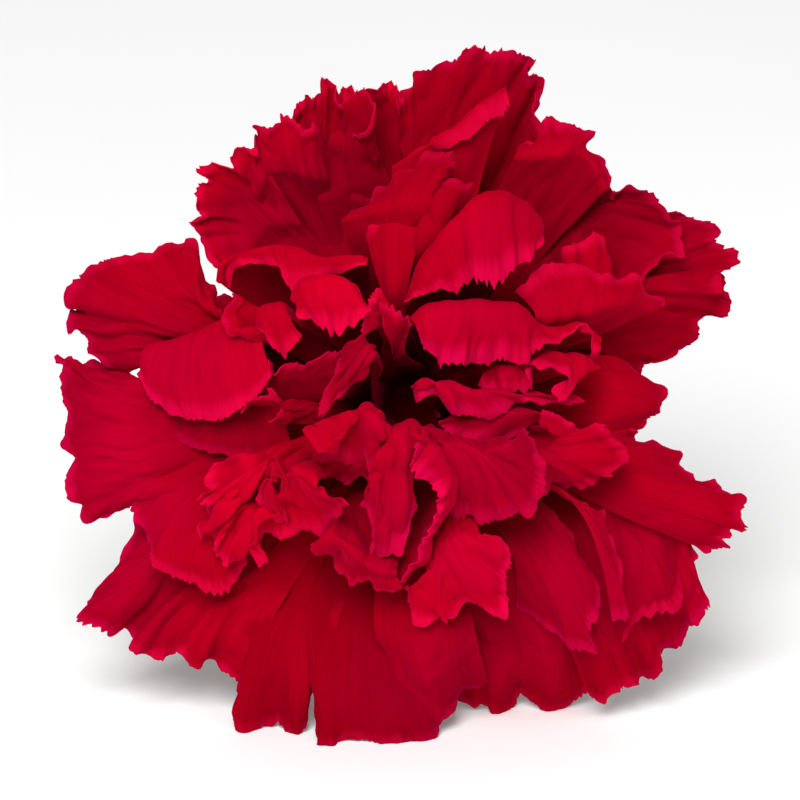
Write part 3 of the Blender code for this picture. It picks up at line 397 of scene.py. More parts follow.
PETALS = [
    # The outer ring, from the left round the bottom, the right and the top
    petal(158, [(128, 366, 2), (104, 360, 2), (92, 350, 1), (88, 337, 2), (66, 329, 3), (76, 311, 0.5),
        (66, 295, 3), (80, 272, 4), (96, 266, 3), (110, 260, 4), (145, 257, 4), (175, 246, 3),
        (186, 241, 4), (195, 246, 4), (203, 270, 5), (218, 293, 6)],
        [(165, 360, 4.5), (150, 335, 5), (165, 318, 6.5), (195, 300, 6.5), (222, 312, 7.5)], tooth=0.7,
        frill=1.3, pleat=0.3, crumple=0.7, tone=0.88),
    petal(188, [(112, 364, 0), (85, 361, -1), (56, 352, -1), (62, 366, 0), (54, 376, -1), (64, 407, 1),
        (58, 438, 0), (70, 460, 1), (71, 485, 0), (86, 517, -1), (130, 515, 1)],
        [(170, 380, 5), (150, 400, 6), (150, 440, 7), (155, 470, 6), (170, 500, 5)], tooth=0.6, frill=1.3,
        crumple=1.1, tone=1.06),
    petal(215, [(133, 470, 4), (128, 500, 4), (142, 532, 4), (150, 558, 5), (178, 583, 5), (212, 592, 6),
        (228, 586, 6), (245, 560, 6)],
        [(180, 450, 4.5), (190, 482, 6), (212, 508, 7.5), (242, 508, 8)], crumple=0.7, tone=0.97),
    petal(225, [(133, 520, -2), (122, 562, -2), (103, 588, -2.5), (80, 615, -3), (100, 626, -1),
        (108, 635, -2), (124, 632, -3), (129, 650, -1), (145, 656, -2), (165, 654, -3), (182, 652, -1),
        (190, 666, -2), (210, 664, -3), (222, 668, -2), (238, 685, -2), (262, 640, 0)],
        [(200, 490, 2), (190, 530, 3), (210, 560, 1), (240, 590, 3), (290, 590, 3)], frill=1.4, pleat=0.3,
        crumple=0.8, tone=1.1),
    petal(247, [(232, 640, -3), (240, 690, -3), (232, 722, -3), (240, 730, -3), (265, 722, -3.5),
        (284, 725, -3), (297, 737, -2), (304, 728, -2), (306, 712, -2), (317, 680, 0)],
        [(240, 590, 3), (275, 610, 2), (310, 610, 3), (345, 605, 3)], frill=0.6, hem=0.8, pleat=0,
        crumple=0.5, tone=0.9),
    petal(266, [(318, 690, -1), (318, 748, 0.7), (328, 748, 1.2), (345, 742, 0.2), (385, 743, 0.7),
        (416, 742, 0.2), (434, 737, -0.8), (442, 700, -1)],
        [(310, 600, 4), (340, 620, 3), (380, 620, 4), (425, 610, 4)], frill=0.8, hem=0.8, pleat=0,
        crumple=0.5, tone=0.76),
    petal(274, [(395, 700, 0), (405, 720, -0.5), (425, 735, -1), (442, 735, -1), (447, 722, -1.2),
        (458, 706, -2.5), (466, 698, -3), (485, 680, -2)],
        [(375, 600, 6), (415, 610, 7), (470, 610, 6)], frill=1.6, hem=1.4, pleat=0.3, crumple=1.1,
        tone=0.93),
    petal(292, [(455, 700, -7.5), (480, 707, -8), (493, 715, -8.2), (508, 707, -8.6), (520, 692, -8.6),
        (528, 704, -8.6), (552, 711, -8.2), (570, 706, -8.8), (588, 689, -8), (596, 660, -5)],
        [(445, 600, 3), (490, 615, 2), (530, 605, 4), (585, 590, 3)], tooth=1.3, frill=1.5, crumple=0.8,
        tone=1.2),
    petal(318, [(587, 690, -3), (600, 699, -4), (625, 689, -3), (640, 677, -5), (661, 668, -4),
        (659, 656, -3), (672, 651, -4), (684, 638, -3), (692, 624, -2), (702, 621, -2), (709, 602, -1),
        (692, 578, 0)],
        [(530, 570, 4), (575, 570, 5), (600, 540, 4), (625, 515, 5), (650, 480, 5)], pleat=0.5, tone=1.1),
    petal(325, [(622, 640, 2), (640, 622, 3), (660, 612, 3), (680, 605, 2), (692, 578, 2), (700, 556, 2)],
        [(600, 520, 7), (620, 500, 7), (640, 480, 7)], pleat=0.8, tone=0.96),
    petal(340, [(705, 553, 3), (730, 543, 3), (731, 530, 4), (746, 531, 3), (744, 512, 4), (748, 498, 3),
        (700, 477, 3), (682, 464, 4), (678, 452, 3), (645, 444, 4), (630, 428, 6)],
        [(610, 510, 8), (620, 480, 9), (610, 450, 9), (590, 430, 9)], pleat=0.15, crumple=0.35, tone=0.92),
    petal(2, [(634, 372, 4), (650, 388, 4), (658, 395, 4), (659, 408, 3), (648, 416, 4), (632, 427, 5),
        (610, 440, 6)],
        [(590, 355, 8), (595, 400, 9), (590, 445, 8)], tone=0.9),
    petal(15, [(636, 374, 1), (645, 364, 1), (668, 356, 0), (686, 347, 0), (699, 335, -1), (700, 323, 0),
        (716, 320, -1), (735, 306, 0), (724, 288, 2), (720, 270, 1)],
        [(570, 350, 6), (590, 330, 6), (600, 310, 7), (600, 290, 7)], tone=0.82),
    petal(28, [(716, 290, 3), (720, 268, 3.6), (738, 260, 3.4), (736, 248, 4), (722, 246, 3.6),
        (714, 238, 4.4), (718, 229, 3.8), (700, 222, 4.6), (690, 218, 4), (677, 211, 4.6), (667, 219, 4.2),
        (650, 221, 4.6)],
        [(612, 316, 4.5), (625, 285, 4.5), (618, 255, 4), (590, 225, 3)], dip=2, crumple=0.9, tone=0.76),
    petal(42, [(660, 242, 4), (652, 220, 4.4), (653, 206, 4.8), (644, 193, 4.6), (625, 193, 5),
        (604, 191, 5), (590, 202, 5)],
        [(605, 285, 1.5), (582, 250, 1.5), (545, 225, 1)], dip=3, tone=0.84),
    petal(58, [(614, 200, 5), (611, 180, 5.6), (605, 158, 5.8), (596, 146, 5.8), (594, 132, 6),
        (577, 127, 6), (563, 120, 6.3), (546, 117, 6.8), (541, 134, 7.4), (520, 150, 8)],
        [(604, 190, 6), (585, 160, 7.5), (562, 156, 8.5), (539, 160, 9), (514, 158, 9)], dip=5, tooth=0.9,
        crumple=0.5, tone=0.95),
    petal(79, [(536, 150, 8), (532, 120, 8), (534, 100, 8), (541, 80, 7), (529, 76, 8), (529, 58, 7),
        (512, 49, 8), (495, 54, 7), (476, 47, 8), (460, 57, 8), (446, 68, 7), (424, 72, 7), (413, 77, 7),
        (408, 90, 6), (407, 111, 6)],
        [(522, 200, 3), (490, 175, 3), (450, 175, 3), (402, 190, 3)], dip=1, pleat=0.3, crumple=0.8,
        tone=0.86),
    petal(95, [(407, 114, 5), (402, 98, 6), (390, 87, 6), (373, 84, 7), (360, 92, 6), (347, 87, 6),
        (338, 98, 5)],
        [(415, 205, 1), (390, 200, 1), (360, 205, 1), (330, 205, 1)], dip=3, tone=1.1),
    petal(105, [(352, 133, 8), (363, 126, 9), (368, 106, 9), (360, 98, 9), (346, 99, 8), (338, 106, 7),
        (333, 87, 6), (323, 82, 7), (324, 95, 5), (326, 106, 5)],
        [(392, 195, 3), (355, 190, 2), (318, 200, 2)], dip=3),
    petal(115, [(330, 100, 5), (316, 99, 5), (306, 95, 6), (304, 104, 5), (296, 110, 5), (291, 118, 4)],
        [(365, 205, 1), (330, 200, 1), (290, 210, 1)], dip=3),
    petal(125, [(310, 135, 7), (318, 123, 8), (301, 130, 7), (293, 119, 8), (280, 117, 8), (274, 126, 7),
        (251, 127, 7), (257, 135, 5), (255, 148, 5), (263, 156, 4)],
        [(326, 178, 4), (297, 172, 5.5), (268, 176, 4.5), (256, 192, 3)], dip=6),
    petal(140, [(256, 150, 6), (238, 153, 5.5), (226, 163, 5.8), (213, 163, 5.4), (205, 172, 5.6),
        (212, 182, 5), (200, 184, 5.4), (198, 207, 5), (205, 216, 4.6), (190, 221, 4.6), (202, 238, 4),
        (211, 260, 4), (221, 266, 4)],
        [(300, 222, 1), (275, 225, 1), (258, 232, 1.5), (252, 254, 2)], dip=4, crumple=0.7, tone=1.15),
    # The second layer on the left
    petal(183, [(137, 375, 6), (146, 393, 7), (166, 411, 8), (188, 417, 9), (212, 418, 10), (229, 415, 11),
        (247, 404, 12), (270, 377, 13.5)],
        [(150, 345, 5.5), (185, 335, 6.5), (225, 322, 8.5), (264, 338, 12)], tooth=0.4, frill=0.3, hem=0.7,
        pleat=0.1, crumple=0.5, tone=1.06),
    petal(195, [(122, 396, 5), (148, 418, 5.5), (175, 436, 6), (190, 446, 6.5), (224, 453, 7.5),
        (260, 458, 8.5), (292, 452, 9.5)],
        [(200, 385, 6.5), (225, 395, 7), (255, 402, 8), (290, 402, 9)], tooth=0.4, frill=0.4, hem=0.8,
        crumple=0.4, tone=0.74),
    # The crumpled petals below the middle, from the left
    petal(222, [(196, 507, 9), (212, 520, 7), (200, 538, 9), (210, 543, 8), (216, 541, 10), (213, 558, 8),
        (223, 570, 9), (238, 560, 8), (252, 545, 9), (258, 522, 10)],
        [(240, 480, 13), (245, 495, 12), (260, 505, 12), (275, 500, 13)], hem=1.5, pleat=0.5, crumple=1.8,
        tone=1.15),
    petal(213, [(205, 462, 10), (203, 480, 10), (196, 505, 11), (215, 508, 12), (240, 505, 12),
        (262, 490, 13)],
        [(250, 452, 14), (265, 462, 15), (285, 465, 15)], hem=1.4, crumple=1.8, tone=1.15),
    petal(235, [(258, 568, 9), (262, 551, 10), (275, 543, 11), (300, 541, 12), (322, 535, 13),
        (336, 522, 14), (349, 507, 16)],
        [(268, 505, 14), (278, 488, 16), (290, 468, 18), (318, 482, 18.5)], hem=1.3, crumple=1.7, tone=1.1),
    petal(225, [(255, 500, 13), (275, 515, 13), (282, 518, 13), (285, 500, 15), (292, 480, 16),
        (285, 470, 17)],
        [(270, 475, 17), (280, 470, 18)], deep=4, crumple=1.6),
    petal(235, [(309, 449, 18), (309, 461, 17), (329, 465, 17), (347, 470, 17), (370, 473, 18),
        (378, 458, 19), (388, 442, 20)],
        [(316, 440, 20.5), (334, 421, 21.5), (361, 407, 22), (378, 415, 22), (391, 434, 21)], deep=3,
        frill=1.6, hem=1.7, pleat=0.6, crumple=2, tone=0.95),
    petal(240, [(318, 462, 13), (325, 478, 13), (340, 486, 13), (362, 480, 14), (376, 470, 15)],
        [(340, 450, 16), (365, 450, 17)], deep=4, crumple=1.6),
    petal(255, [(357, 507, 15), (363, 522, 14.5), (361, 540, 14), (370, 567, 13), (392, 552, 14),
        (410, 525, 15.5), (414, 498, 17)],
        [(374, 462, 20), (384, 440, 21), (404, 427, 21.5), (428, 437, 21)], deep=4, wide=2.5, tooth=0.6,
        hem=1.2, crumple=1.5),
    petal(275, [(416, 440, 21), (417, 470, 21), (436, 490, 20), (443, 511, 19), (436, 529, 18),
        (427, 551, 16), (411, 569, 14), (401, 582, 12.5)],
        [(422, 422, 20), (440, 441, 20), (460, 479, 18.5), (461, 498, 17.5), (447, 529, 15.5),
        (428, 562, 13.5), (405, 584, 12)], deep=4, wide=3, tooth=0.7, hem=1.2, crumple=1.2, tone=1.08),
    petal(258, [(309, 545, 10), (314, 557, 10), (325, 568, 10), (343, 584, 10), (360, 590, 10.5),
        (374, 597, 10.5), (390, 593, 11), (401, 582, 12)],
        [(330, 528, 14), (350, 540, 14), (367, 560, 13.5), (396, 570, 13)], wide=3, frill=1.4, hem=1.6,
        crumple=1.7),
    petal(281, [(398, 592, 9), (410, 613, 8), (428, 626, 8), (446, 627, 8.5), (456, 613, 9), (482, 609, 10),
        (505, 609, 10), (509, 592, 11), (505, 574, 12), (508, 556, 13), (500, 538, 14), (487, 532, 14.5)],
        [(422, 570, 12.5), (436, 548, 13.5), (455, 530, 14.5), (480, 533, 15)], wide=5, frill=0.5, hem=1.2,
        crumple=0.8, tone=1.2),
    petal(312, [(446, 521, 13), (470, 522, 14), (496, 517, 15), (516, 518, 15.5), (530, 513, 16),
        (538, 492, 16), (541, 470, 17), (536, 440, 18), (528, 428, 19)],
        [(440, 436, 19.5), (462, 441, 19), (486, 448, 19), (512, 440, 20)], deep=4, wide=3, frill=0.8,
        hem=1.3, pleat=0.15, crumple=0.8, tone=0.92),
    petal(335, [(542, 495, 12), (565, 494, 12), (590, 490, 13), (602, 476, 13), (618, 463, 13),
        (623, 450, 13), (612, 436, 14), (598, 421, 15), (585, 428, 15), (562, 416, 16), (545, 410, 17)],
        [(528, 456, 17), (543, 452, 15.5), (552, 443, 15.5), (540, 428, 17)], tooth=0.7, frill=0.5, hem=0.9,
        crumple=0.8, tone=0.9),
    petal(310, [(516, 606, 4), (545, 626, 5), (580, 652, 6), (594, 651, 6), (590, 632, 6.5),
        (600, 610, 6.5), (595, 578, 7), (580, 556, 8), (568, 530, 8.5), (560, 520, 9.5)],
        [(505, 540, 8), (520, 528, 8), (540, 515, 9), (552, 512, 10)], wide=3, tooth=0.7, frill=0.4,
        hem=0.8, pleat=0, crumple=0.35, tone=0.88),
    petal(318, [(612, 618, 7), (625, 615, 7), (622, 560, 9), (612, 530, 10), (600, 515, 11)],
        [(570, 500, 13), (585, 500, 13)]),
    # The small petals right of the middle
    petal(12, [(478, 386, 16), (500, 391, 16), (527, 391, 16), (521, 378, 17), (523, 367, 17),
        (545, 365, 17.5), (562, 372, 17.5), (568, 384, 17), (563, 398, 16), (546, 389, 16)],
        [(484, 367, 16), (500, 361, 16.5), (530, 357, 16), (560, 357, 15.5), (600, 364, 14)], deep=4,
        tooth=0.5),
    petal(355, [(415, 399, 18), (424, 396, 19), (437, 398, 19), (455, 411, 18), (482, 414, 17),
        (518, 407, 16), (550, 403, 15), (585, 402, 13)],
        [(411, 390, 19), (414, 382, 19.5), (430, 379, 20), (450, 384, 19), (475, 389, 18), (520, 391, 16),
        (565, 393, 14)], deep=3, tooth=0.5, frill=0.8, hem=1.3),
    petal(345, [(441, 422, 17), (447, 432, 16), (462, 437, 16), (478, 441, 15.5), (496, 441, 15),
        (514, 434, 15), (530, 428, 15)],
        [(452, 414, 15), (490, 409, 16), (525, 408, 16.5), (555, 414, 15)], deep=3.5, tooth=0.5, frill=0.3,
        hem=0.6, crumple=0.5, tone=0.9),
    # The folded petals at the upper right
    petal(35, [(418, 328, 18), (424, 348, 18), (436, 361, 18), (450, 355, 19), (467, 362, 18),
        (490, 366, 18.5), (508, 361, 18), (526, 356, 18), (545, 345, 17), (560, 336, 17), (584, 326, 16),
        (597, 345, 14.5), (597, 363, 13.5)],
        [(410, 318, 17), (445, 303, 18), (485, 301, 18), (520, 302, 17), (548, 324, 15.5), (578, 319, 15),
        (600, 335, 13)], deep=4, tooth=0.75, frill=0.4, hem=1.7, crumple=0.6),
    petal(30, [(521, 293, 15), (530, 278, 15.5), (540, 267, 15), (566, 264, 14), (600, 275, 13),
        (618, 278, 12), (634, 275, 11), (647, 293, 9), (664, 306, 7)],
        [(535, 318, 16), (548, 321, 16), (580, 316, 15), (616, 306, 13), (650, 310, 9)], tooth=0.3,
        frill=0.3, hem=0.9, crumple=0.5, tone=0.97),
    petal(38, [(568, 266, 10), (569, 248, 10), (583, 240, 9), (594, 233, 9), (607, 248, 8), (606, 270, 8)],
        [(560, 290, 11), (590, 290, 10), (610, 290, 9)], tooth=0.5),
    petal(65, [(405, 304, 18), (420, 296, 18.5), (440, 289, 19), (460, 293, 18.5), (463, 282, 18.5),
        (478, 281, 20), (492, 281, 20), (508, 275, 19.5), (522, 264, 18.5), (531, 255, 17.5),
        (541, 238, 16)],
        [(403, 300, 16), (414, 270, 17), (436, 236, 17.5), (460, 208, 18), (490, 192, 17), (512, 195, 16),
        (532, 210, 15), (543, 226, 14.5)], deep=4.5, tooth=0.7, frill=0.2, crumple=0.6, tone=0.92),
    # The upright petals above the middle
    petal(95, [(367, 234, 12), (384, 216, 12.5), (408, 212, 13), (428, 210, 13)],
        [(384, 302, 14.5), (394, 298, 15.5), (406, 300, 15)], deep=4, tooth=0, frill=0.2, crumple=0.4,
        tone=0.85),
    petal(98, [(343, 219, 10.5), (378, 199, 11), (404, 178, 11.5), (425, 163, 12), (447, 155, 12.5),
        (456, 155, 13), (442, 166, 13.5), (431, 178, 14)],
        [(342, 223, 12), (384, 213, 13.5), (406, 210, 14.5), (427, 208, 15), (429, 194, 15)], tooth=0.5,
        frill=0.2, crumple=0.6, tone=0.78),
    petal(80, [(429, 206, 12), (434, 190, 13.5), (445, 181, 12.5), (455, 185, 14), (465, 180, 13),
        (459, 200, 13)],
        [(408, 262, 14), (420, 250, 15), (430, 242, 14), (440, 236, 14.5)], deep=4.5, pleat=1.2, tone=0.8),
    petal(72, [(397, 171, 9), (428, 155, 10), (452, 145, 11), (484, 127, 11), (490, 117, 10.8),
        (501, 109, 10.5), (509, 98, 10)],
        [(392, 167, 9.5), (420, 151, 10.5), (450, 128, 11), (480, 101, 10.5), (504, 86, 9.5)], tooth=0.5,
        frill=0.3, crumple=0.5),
    # The curled petals at the upper left and round the pit
    petal(148, [(232, 290, 10), (234, 270, 11), (246, 264, 12), (262, 265, 12.5), (277, 268, 13.5),
        (283, 280, 14.5), (293, 295, 15.5), (304, 284, 15.5), (318, 277, 15.5), (340, 272, 15),
        (366, 264, 15.5)],
        [(219, 283, 11), (222, 264, 11.5), (238, 254, 12), (256, 248, 12.5), (276, 245, 13), (301, 247, 14),
        (328, 257, 15), (348, 257, 15), (368, 258, 15)], dip=6, tooth=0.3, frill=0.4, hem=0.8, crumple=0.4),
    petal(135, [(298, 313, 17), (303, 322, 17.5), (316, 328, 18), (332, 329, 19), (348, 326, 19.5),
        (360, 320, 19.5), (368, 308, 19.5)],
        [(294, 302, 16), (304, 287, 17), (330, 276, 18), (355, 278, 18.5), (369, 297, 18.5)], deep=4,
        tooth=0.6, frill=0.5, hem=1.2, crumple=1.2, tone=1.1),
    petal(160, [(256, 330, 13), (265, 338, 14), (274, 350, 14.5), (286, 353, 15), (294, 346, 15.5),
        (301, 337, 16)],
        [(254, 322, 13), (256, 311, 13.5), (266, 305, 14), (284, 305, 14.5), (291, 317, 15)], tooth=0.5,
        crumple=0.8),
    petal(163, [(226, 290, 9), (221, 305, 10), (220, 322, 11), (226, 340, 11.5), (242, 342, 12),
        (258, 338, 13)],
        [(246, 298, 12), (238, 315, 12.5), (245, 330, 13), (262, 328, 13)]),
    petal(170, [(262, 345, 12), (264, 361, 12), (272, 357, 13), (276, 367, 13), (290, 363, 14),
        (310, 362, 14.5), (328, 357, 15), (345, 350, 16), (356, 338, 17)],
        [(266, 392, 6), (295, 404, 7), (322, 402, 8), (350, 385, 10)], deep=4, crumple=0.5),
    petal(175, [(345, 358, 15.5), (330, 372, 15), (318, 390, 15), (320, 409, 15), (334, 402, 16),
        (350, 384, 16.5), (365, 362, 17)],
        [(360, 338, 18), (371, 344, 18), (375, 358, 17.5)], deep=3, pleat=1, tone=0.9),
    petal(115, [(383, 290, 17), (372, 300, 18), (366, 320, 18), (368, 335, 18)],
        [(388, 310, 15), (384, 330, 15)], deep=3, tone=1.3),
    petal(182, [(245, 412, 12), (252, 398, 13), (264, 391, 14), (280, 398, 14), (281, 412, 13),
        (268, 423, 12)],
        [(290, 400, 11), (300, 410, 12), (295, 425, 12)]),
    petal(90, [(385, 305, 17), (398, 308, 18), (412, 325, 17)],
        [(392, 350, 14), (405, 350, 14)], deep=3),
    # A short petal in front of the ring on the right
    petal(30, [(640, 284, 6.2), (656, 263, 7), (679, 253, 7), (681, 235, 6.5), (671, 221, 6.5),
        (657, 206, 7)],
        [(600, 292, 6), (608, 262, 4), (604, 232, 3), (596, 208, 3)], dip=2, tone=0.85),
    # Broad petals of the lowest layer, mostly hidden
    backing_petal(8, 25, 36, 1),
    backing_petal(35, 32.5, 26, -1),
    backing_petal(62, 31.5, 32, 0),
    backing_petal(112, 32.5, 32, -2),
    backing_petal(170, 29.5, 20, 0),
    backing_petal(205, 31.5, 30, -2),
    backing_petal(248, 29, 28, -3),
    backing_petal(285, 28, 30, -3),
    backing_petal(322, 34, 25, -2),
]


def ripple(x, y, scale, rng):
    """Smooth seeded noise of about -1 to 1, with waves about scale long."""
    total = np.zeros(np.broadcast(x, y).shape)
    for _ in range(RIPPLE_WAVES):
        heading = rng.uniform(0, 2 * np.pi)
        pitch = 2 * np.pi / (scale * rng.uniform(*RIPPLE_SPREAD))
        total += np.sin(pitch * (np.cos(heading) * x + np.sin(heading) * y) + rng.uniform(0, 2 * np.pi))
    return total / np.sqrt(RIPPLE_WAVES)


def margin_shape(s, spec, rng):
    """How far the toothed margin stands beyond the rim, in mm, along the rim's length s."""
    q = s / TEETH_PITCH + TEETH_DRIFT * ripple(s, *TEETH_DRIFT_LINE, rng)
    teeth = 1 - np.abs(2 * (q % 1.0) - 1)
    lobes = ripple(s, *LOBE_LINE, rng)
    nick = np.clip(ripple(s, *NICK_LINE, rng) - NICK_FROM, 0, 1)
    size = TEETH_SMALLEST + (1 - TEETH_SMALLEST) * np.abs(ripple(s, *TEETH_SIZE_LINE, rng))
    return spec["tooth"] * (TEETH_HIGH * (teeth - TEETH_MIDDLE) * size + LOBES_HIGH * lobes - nick)


def creases(wave):
    """Noise with a sharp ridge where it was 0."""
    return 1 - np.abs(wave)


def ridges(wave):
    """Noise with steep ridges and flat valleys, from 1 to -1."""
    return 1 - 2 * np.abs(np.tanh(HARDEN * wave))


def petal_relief(spec, s, v, width, length, rng):
    """How far a petal's waves, hems, pleats and crumples lift it off its plain surface, in mm."""
    x = (s - width / 2) * (FOOT_SHARE + (1 - FOOT_SHARE) * smooth(v / FOOT_END))
    y = v * length

    def noise(across, squeeze, scale, high, shape=np.positive):
        return high * shape(ripple(across, y * squeeze, scale, rng))

    grown = smooth((v - FOLDS_FROM) / FOLDS_RISE)
    edge = smooth((v - EDGE_FROM) / (1 - EDGE_FROM)) ** EDGE_POWER
    hem = smooth((v - 1) * length / HEM + 1)
    gate = 0.5 + 0.5 * np.tanh(HARDEN * ripple(s, *GATE_LINE, rng))
    drift = s / FRILL_LENGTH + FRILL_DRIFT * ripple(s, *FRILL_DRIFT_LINE, rng)
    frill = np.sin(2 * np.pi * drift + rng.uniform(0, FRILL_PHASE))
    crimp = noise(s, *CRIMP)
    crimp = crimp * (CRIMP_SMALLEST + (1 - CRIMP_SMALLEST) * np.abs(ripple(s, *CRIMP_SIZE_LINE, rng)))
    margin = FRILL_HIGH * spec["frill"] * edge * gate * frill + spec["hem"] * hem * crimp
    pleats = noise(x, *FAN) + noise(x, *FOLD, ridges)
    crumples = noise(x, *WAVE) + noise(x, *CREASE, creases) + noise(x, *DENT, creases) + noise(x, *TINY)
    return margin + (spec["pleat"] * pleats + spec["crumple"] * crumples) * grown


def petal_surface(spec, seed):
    """The middle surface of one petal in mm, with each point's place along and across it."""
    rng = np.random.default_rng(seed)
    rough_width = float(steps(curve(place(spec["rim"]), np.linspace(0, 1, RIM_SAMPLES))).sum())
    u = np.linspace(0, 1, int(np.clip(rough_width / COLUMN_STEP, *COLUMN_LIMITS)) + 1)
    claw, crest, rim, outward = petal_lines(spec, u)
    first = np.linalg.norm(crest - claw, axis=1)[:, None]
    # A rim may lie on its crest, so the second length is never quite zero.
    second = np.linalg.norm(rim - crest, axis=1)[:, None] + 0.01
    length = float((first + second).mean())
    rows = int(np.clip(length / ROW_STEP, *ROW_LIMITS))
    v = 1 - (1 - np.linspace(0, 1, rows + 1)[:, None]) ** ROW_CROWDING
    s = np.concatenate([[0], np.cumsum(steps(rim))])[None, :]
    rise = first * (RISE_OUT * outward + np.array([0, 0, RISE_UP]))
    over = (rim - claw) / (first + second)
    away = RIM_AHEAD * (rim - crest) - RIM_BACK * over * second
    share = float(first.mean() / (first.mean() + second.mean()))
    reach = v + margin_shape(s, spec, rng) / length * smooth((v - TEETH_FROM) / (1 - TEETH_FROM))
    lower = np.clip(reach / share, 0, 1)[..., None]
    upper = ((reach - share) / (1 - share))[..., None]
    sag = np.array([0, 0, 4 * spec["dip"]])
    climb = hermite(lower, claw, rise, crest, over * first) - sag * lower * (1 - lower)
    fall = hermite(np.clip(upper, 0, 1), crest, over * second, rim, away) + np.maximum(upper - 1, 0) * away
    points = np.where(upper > 0, fall, climb)
    relief = petal_relief(spec, s, v, rough_width, length, rng)
    across = np.broadcast_to((s - rough_width / 2) / 10, relief.shape)
    along = np.broadcast_to(v, relief.shape)
    return points + normals(points) * relief[..., None], across, along


def add_object(name, data):
    """A new object in the scene."""
    obj = bpy.data.objects.new(name, data)
    bpy.context.scene.collection.objects.link(obj)
    return obj


def add_piece(name, mesh, made, sharp):
    """A mesh with its material, smooth but for edges of more than sharp degrees, in the scene."""
    mesh.materials.append(made)
    mesh.shade_smooth()
    mesh.set_sharp_from_angle(angle=math.radians(sharp))
    return add_object(name, mesh)


def sheet_piece(name, middle, thickness, made, across, along, tip):
    """A closed sheet round a grid of points, with a UV map across and along it.

    It thins to the share tip of its thickness at its last row.
    """
    rows, columns = middle.shape[:2]
    taper = np.linspace(1, tip, rows)[:, None, None]
    half_wall = normals(middle) * thickness / 2 * taper
    world = above_table(np.concatenate([middle + half_wall, middle - half_wall]))
    half = rows * columns
    grid = np.arange(half).reshape(rows, columns)
    a, b, c, d = grid[:-1, :-1], grid[:-1, 1:], grid[1:, 1:], grid[1:, :-1]
    top = np.stack([a, b, c, d], axis=-1).reshape(-1, 4)
    under = np.stack([a, d, c, b], axis=-1).reshape(-1, 4) + half
    edge = np.concatenate([grid[0, :], grid[1:, -1], grid[-1, -2::-1], grid[-2:0:-1, 0]])
    after = np.roll(edge, -1)
    side = np.stack([edge, edge + half, after + half, after], axis=-1)
    faces = np.concatenate([top, under, side])
    mesh = bpy.data.meshes.new(name)
    mesh.from_pydata(world.tolist(), [], faces.tolist())
    flat = np.stack([across, along], axis=-1).reshape(-1, 2).astype(np.float32)
    layer = mesh.uv_layers.new(name="lie")
    corner = np.empty(len(mesh.loops), np.int32)
    mesh.loops.foreach_get("vertex_index", corner)
    layer.data.foreach_set("uv", flat[corner % half].ravel())
    return add_piece(name, mesh, made, SHEET_SHARP)


def around(sides):
    """The angles of equally spaced points round a ring."""
    return 2 * math.pi * np.arange(sides) / sides


def ring(radius, height, sides):
    """Points round the axis; radius and height are numbers or one value for each side."""
    angle = around(sides)
    radius, height = np.broadcast_to(radius, angle.shape), np.broadcast_to(height, angle.shape)
    return np.stack([radius * np.cos(angle), radius * np.sin(angle), height], axis=1)


def ring_piece(name, rings, made):
    """A closed skin over rings of equally many points, with the first and last ring capped."""
    sides = len(rings[0])
    last = (len(rings) - 1) * sides
    faces = []
    for row in range(len(rings) - 1):
        for k in range(sides):
            a, b = row * sides + k, row * sides + (k + 1) % sides
            faces.append((a, b, b + sides, a + sides))
    faces.append(tuple(range(sides - 1, -1, -1)))
    faces.append(tuple(range(last, last + sides)))
    mesh = bpy.data.meshes.new(name)
    mesh.from_pydata(above_table(np.concatenate(rings)).tolist(), [], faces)
    work = bmesh.new()
    work.from_mesh(mesh)
    bmesh.ops.recalc_face_normals(work, faces=work.faces)
    work.to_mesh(mesh)
    work.free()
    return add_piece(name, mesh, made, RING_SHARP)


def keep(obj, node):
    """Hand a finished piece over: it rides on the root and stands for a node, whose part is hidden."""
    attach(obj, "root")
    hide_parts(node)


def set_tone(piece, tone):
    """Each petal's painted light and shade, how much deeper or paler it is painted than the others, for the
    petal material.
    """
    own = piece.data.attributes.new("tone", "FLOAT", "POINT")
    own.data.foreach_set("value", [tone] * len(piece.data.vertices))
    return piece


def feed(tree, made, inputs):
    """Set inputs of a node, each to a socket or to a plain value."""
    for key, value in inputs.items():
        if isinstance(value, bpy.types.NodeSocket):
            tree.links.new(value, made.inputs[key])
        else:
            made.inputs[key].default_value = value


def node(tree, kind, inputs, **values):
    """A new node with its inputs, and its own properties set by name."""
    made = tree.nodes.new(kind)
    for key, value in values.items():
        setattr(made, key, value)
    feed(tree, made, inputs)
    return made


def new_material(name, roughness, specular):
    """A plain material, its node tree, its shader and the place of each point on it."""
    made = bpy.data.materials.new(name)
    made.use_nodes = True
    tree = made.node_tree
    shader = tree.nodes["Principled BSDF"]
    feed(tree, shader, {"Roughness": roughness, "Specular IOR Level": specular, "Metallic": 0.0})
    return made, tree, shader, node(tree, "ShaderNodeTexCoord", {}).outputs["Object"]


def grey(value):
    """A grey as a colour."""
    return (value, value, value)


def ramp(tree, source, *stops):
    """A colour ramp over a value from 0 to 1, from (place, colour) stops."""
    made = tree.nodes.new("ShaderNodeValToRGB")
    elements = made.color_ramp.elements
    while len(elements) < len(stops):
        elements.new(0.5)
    for element, (at, colour) in zip(elements, stops):
        element.position = at
        element.color = (*colour, 1.0)
    tree.links.new(source, made.inputs[0])
    return made.outputs[0]


def stretched_noise(tree, coordinates, stretch, scale, detail):
    """Noise in coordinates stretched along their axes; a larger scale makes it finer."""
    mapping = node(tree, "ShaderNodeMapping", {"Vector": coordinates, "Scale": stretch})
    inputs = {"Vector": mapping.outputs[0], "Scale": scale, "Detail": detail}
    return node(tree, "ShaderNodeTexNoise", inputs).outputs[0]


